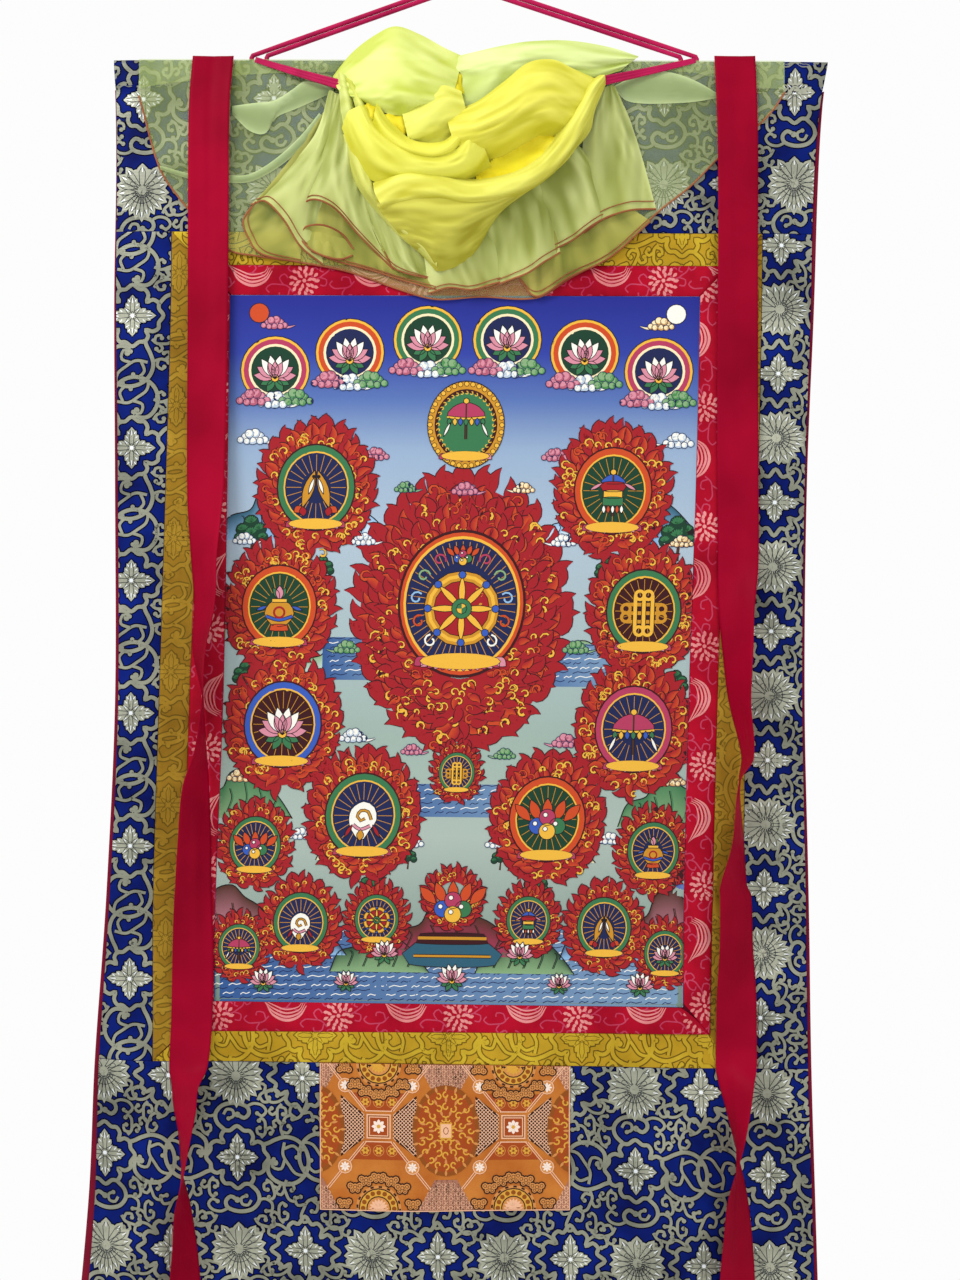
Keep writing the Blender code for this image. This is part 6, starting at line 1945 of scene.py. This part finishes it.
def makeVeil():
    make = veilMake
    stations = np.linspace(bibEdge[1][0], bibEdge[-1][0], int(788 / make["cell"]))
    share, across = np.meshgrid(np.linspace(0, 1, 54), stations, indexing="xy")
    top = rowDrop("top", across) + 0.5
    drop = top + (readSmooth(bibEdge, "drop", across) - top) * share
    depth = veilClear(across, drop) + 0.8 * softNoise(across / 18, drop / 55, 31) * ease(share / 0.2)
    flat = [at(across, drop, depth)]
    hems = [flat[0][:, -1]]
    pleats, pleatTonesAndShade, seconds = [], [], []
    for k, (name, railSet) in enumerate(veilPleats.items()):
        grid, wave = loft(railSet, 40, 40, 3.0, 40 + k, 12.0, True)
        clear = veilClear(grid[..., 0], grid[..., 1]) + 2.0 + 0.35 * (k % 3)
        relief3 = np.maximum(grid[..., 2], clear + 0.9 * wave)
        pleats.append(at(grid[..., 0], grid[..., 1], relief3))
        u, v = np.meshgrid(np.linspace(0, 1, 40), np.linspace(0, 1, 40))
        # painted highlight on the crease ridges, lighter at the side edges, painted shade near the root under the bunch
        light = 0.5 + 0.55 * wave + 0.35 * ease((abs(u - 0.5) - 0.42) / 0.08) - 0.3 * (1 - ease(v / 0.35))
        # pleats that lie under others get a darker pair: painted shade
        darker = ("#7c8230", "#bcb858") if name in ("leftCurl", "leftUnder", "leftLower", "rightLower") \
            else ("#a0aa4e", "#e0e896")
        pleatTonesAndShade.append(between(*darker, light))
        hems.append(pleats[-1][-1])
        if name == "leftCurl":
            hems.append(pleats[-1][0])
        else:
            seconds.append(pleats[-1][-3] + (0, -0.0012, 0))
    # doubled cloth in the wings
    for upper, lower in veilDoubles.values():
        first, second = curveThrough(upper, 60), curveThrough(lower, 60)
        t = np.linspace(0, 1, 9)[:, None, None]
        place = first[None] * (1 - t) + second[None] * t
        crown = 2.6 * np.sin(np.pi * t[..., 0])
        pleats.append(at(place[..., 0], place[..., 1], veilClear(place[..., 0], place[..., 1]) + 1.0 + crown))
        rim = abs(2 * t[..., 0] - 1) ** 3 + 0 * place[..., 0]
        pleatTonesAndShade.append(between("#8ea066", "#ccdea0", 0.2 + 0.8 * rim))
    lofts, foldTonesAndShade = [], []
    for k, (name, railSet) in enumerate(veilFolds.items()):
        grid, wave = loft(railSet, 64, 44, 1.9, 70 + k)
        lofts.append(grid)
        u, v = np.meshgrid(np.linspace(0, 1, 64), np.linspace(0, 1, 44))
        # painted highlight on the crease ridges and across each fold's middle, painted shade in the troughs and towards
        # its lower edge
        light = 0.55 + 0.6 * wave + 0.25 * np.cos(2 * np.pi * (v - 0.4)) - 0.25 * ease((v - 0.75) / 0.25)
        foldTonesAndShade.append(between(*veilTonesAndShade[name], light))
    folds = [at(grid[..., 0], grid[..., 1], grid[..., 2]) for grid in lofts]
    # the casing at the top, where the cloth is doubled
    share, across = np.meshgrid(np.linspace(0, 1, 8), stations, indexing="xy")
    casing = rowDrop("top", across) + 0.5
    drop = casing + (readSmooth(casingEdge, "drop", across) - casing) * share
    flat.append(at(across, drop, veilClear(across, drop) + 1.0))
    bib = openSheet("veil_bib", flat, materials["organza"])
    skirt = openSheet("veil_pleats", pleats, materials["organzaPleat"], pleatTonesAndShade)
    bunch = openSheet("veil_bunch", folds, materials["organzaFold"], foldTonesAndShade)
    points, faces, dyes = bunchBacking(lofts)
    back = dyed(meshPiece("veil_scoops", points, faces, materials["organzaDeep"]), dyes)
    tubes = [tubePoints(path, make["hemRound"] * mm) for path in hems]
    tubes += [tubePoints(path, make["hemRound"] * 0.55 * mm) for path in seconds]
    hem = openSheet("veil_hem", tubes, materials["hemThread"])
    for piece in (bib, skirt, bunch, back, hem):
        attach(piece, "root")
    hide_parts("veil")


makeVeil()
print("veil gathered")

ties = (
    ("side", "top_across", "top_drop", "top_forward", "end_across", "end_drop", "end_forward"),
    ("left", -256, 98, 18.6, -152, 133, 38),
    ("right", 281, 99, 18.6, 160, 130, 38),
)
tieMake = dict(topWidth=6.5, endWidth=12.0, thick=0.8, pleat=0.7)


def makeTie(side, topAcross, topDrop, topForward, endAcross, endDrop, endForward):
    make = tieMake
    length = math.hypot(endAcross - topAcross, endDrop - topDrop)
    normalX, normalZ = (endDrop - topDrop) / length, -(endAcross - topAcross) / length
    k, t = np.meshgrid(np.linspace(-1, 1, 15), np.linspace(0, 1, 40))
    half = (make["topWidth"] + (make["endWidth"] - make["topWidth"]) * t) / 2
    across = topAcross + (endAcross - topAcross) * t + normalX * half * k
    drop = topDrop + (endDrop - topDrop) * t + normalZ * half * k
    depth = topForward + (endForward - topForward) * t ** 1.6 + make["pleat"] * np.cos(k * 3 * np.pi) * t
    grids = [at(across, drop, depth + off) for off in (make["thick"] / 2, -make["thick"] / 2)]
    piece = thinSheet("tie_" + side + "_cloth", grids[0], grids[1], materials["cord"])
    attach(piece, "root")
    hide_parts("tie_" + side)


for row in ties[1:]:
    makeTie(*row)

# Camera, world and studio
view = dict(distance=2.8, across=18.3, drop=806.4, frameHeight=1561.6, cloth=19.0, floor=-2.3)
camera = bpy.data.objects.new("camera", bpy.data.cameras.new("camera"))
camera.data.sensor_fit = "VERTICAL"
camera.data.sensor_height = 36.0
camera.data.lens = 36.0 * (view["distance"] * 1000 - view["cloth"]) / view["frameHeight"]
camera.location = (view["across"] * mm, -view["distance"], -view["drop"] * mm)
camera.rotation_euler = (math.pi / 2, 0, 0)
bpy.context.scene.collection.objects.link(camera)
bpy.context.scene.camera = camera

world = bpy.data.worlds.new("studio")
bpy.context.scene.world = world
world.use_nodes = True
world.node_tree.nodes["Background"].inputs["Color"].default_value = (1, 1, 1, 1)
world.node_tree.nodes["Background"].inputs["Strength"].default_value = 0.98
bpy.context.scene.view_settings.view_transform = "Standard"
lights = {
    "key": dict(place=(-1.5, -1.5, 1.2), aim=(0, 0, -0.5), size=0.8, power=40),
    "fill": dict(place=(1.6, -2.4, -0.2), aim=(0, 0, -0.9), size=2.0, power=5),
}
for name, lamp in lights.items():
    data = bpy.data.lights.new(name, "AREA")
    data.energy, data.size = lamp["power"], lamp["size"]
    light = bpy.data.objects.new(name, data)
    light.location = lamp["place"]
    aim = Vector(lamp["aim"]) - Vector(lamp["place"])
    light.rotation_euler = aim.to_track_quat("-Z", "Y").to_euler()
    bpy.context.scene.collection.objects.link(light)

floorMaterial, floorTree = newMaterial("plaster floor, pale")
floorShader = addNode(floorTree, "ShaderNodeBsdfPrincipled", {"Base Color": hexColour("#efeeea"), "Roughness": 0.8})
addNode(floorTree, "ShaderNodeOutputMaterial", None, {"Surface": floorShader.outputs["BSDF"]})
floor = meshPiece("floor", [(-3, -3.2, view["floor"]), (3, -3.2, view["floor"]), (3, 1.2, view["floor"]),
                            (-3, 1.2, view["floor"])], [(0, 1, 2, 3)], floorMaterial, False)
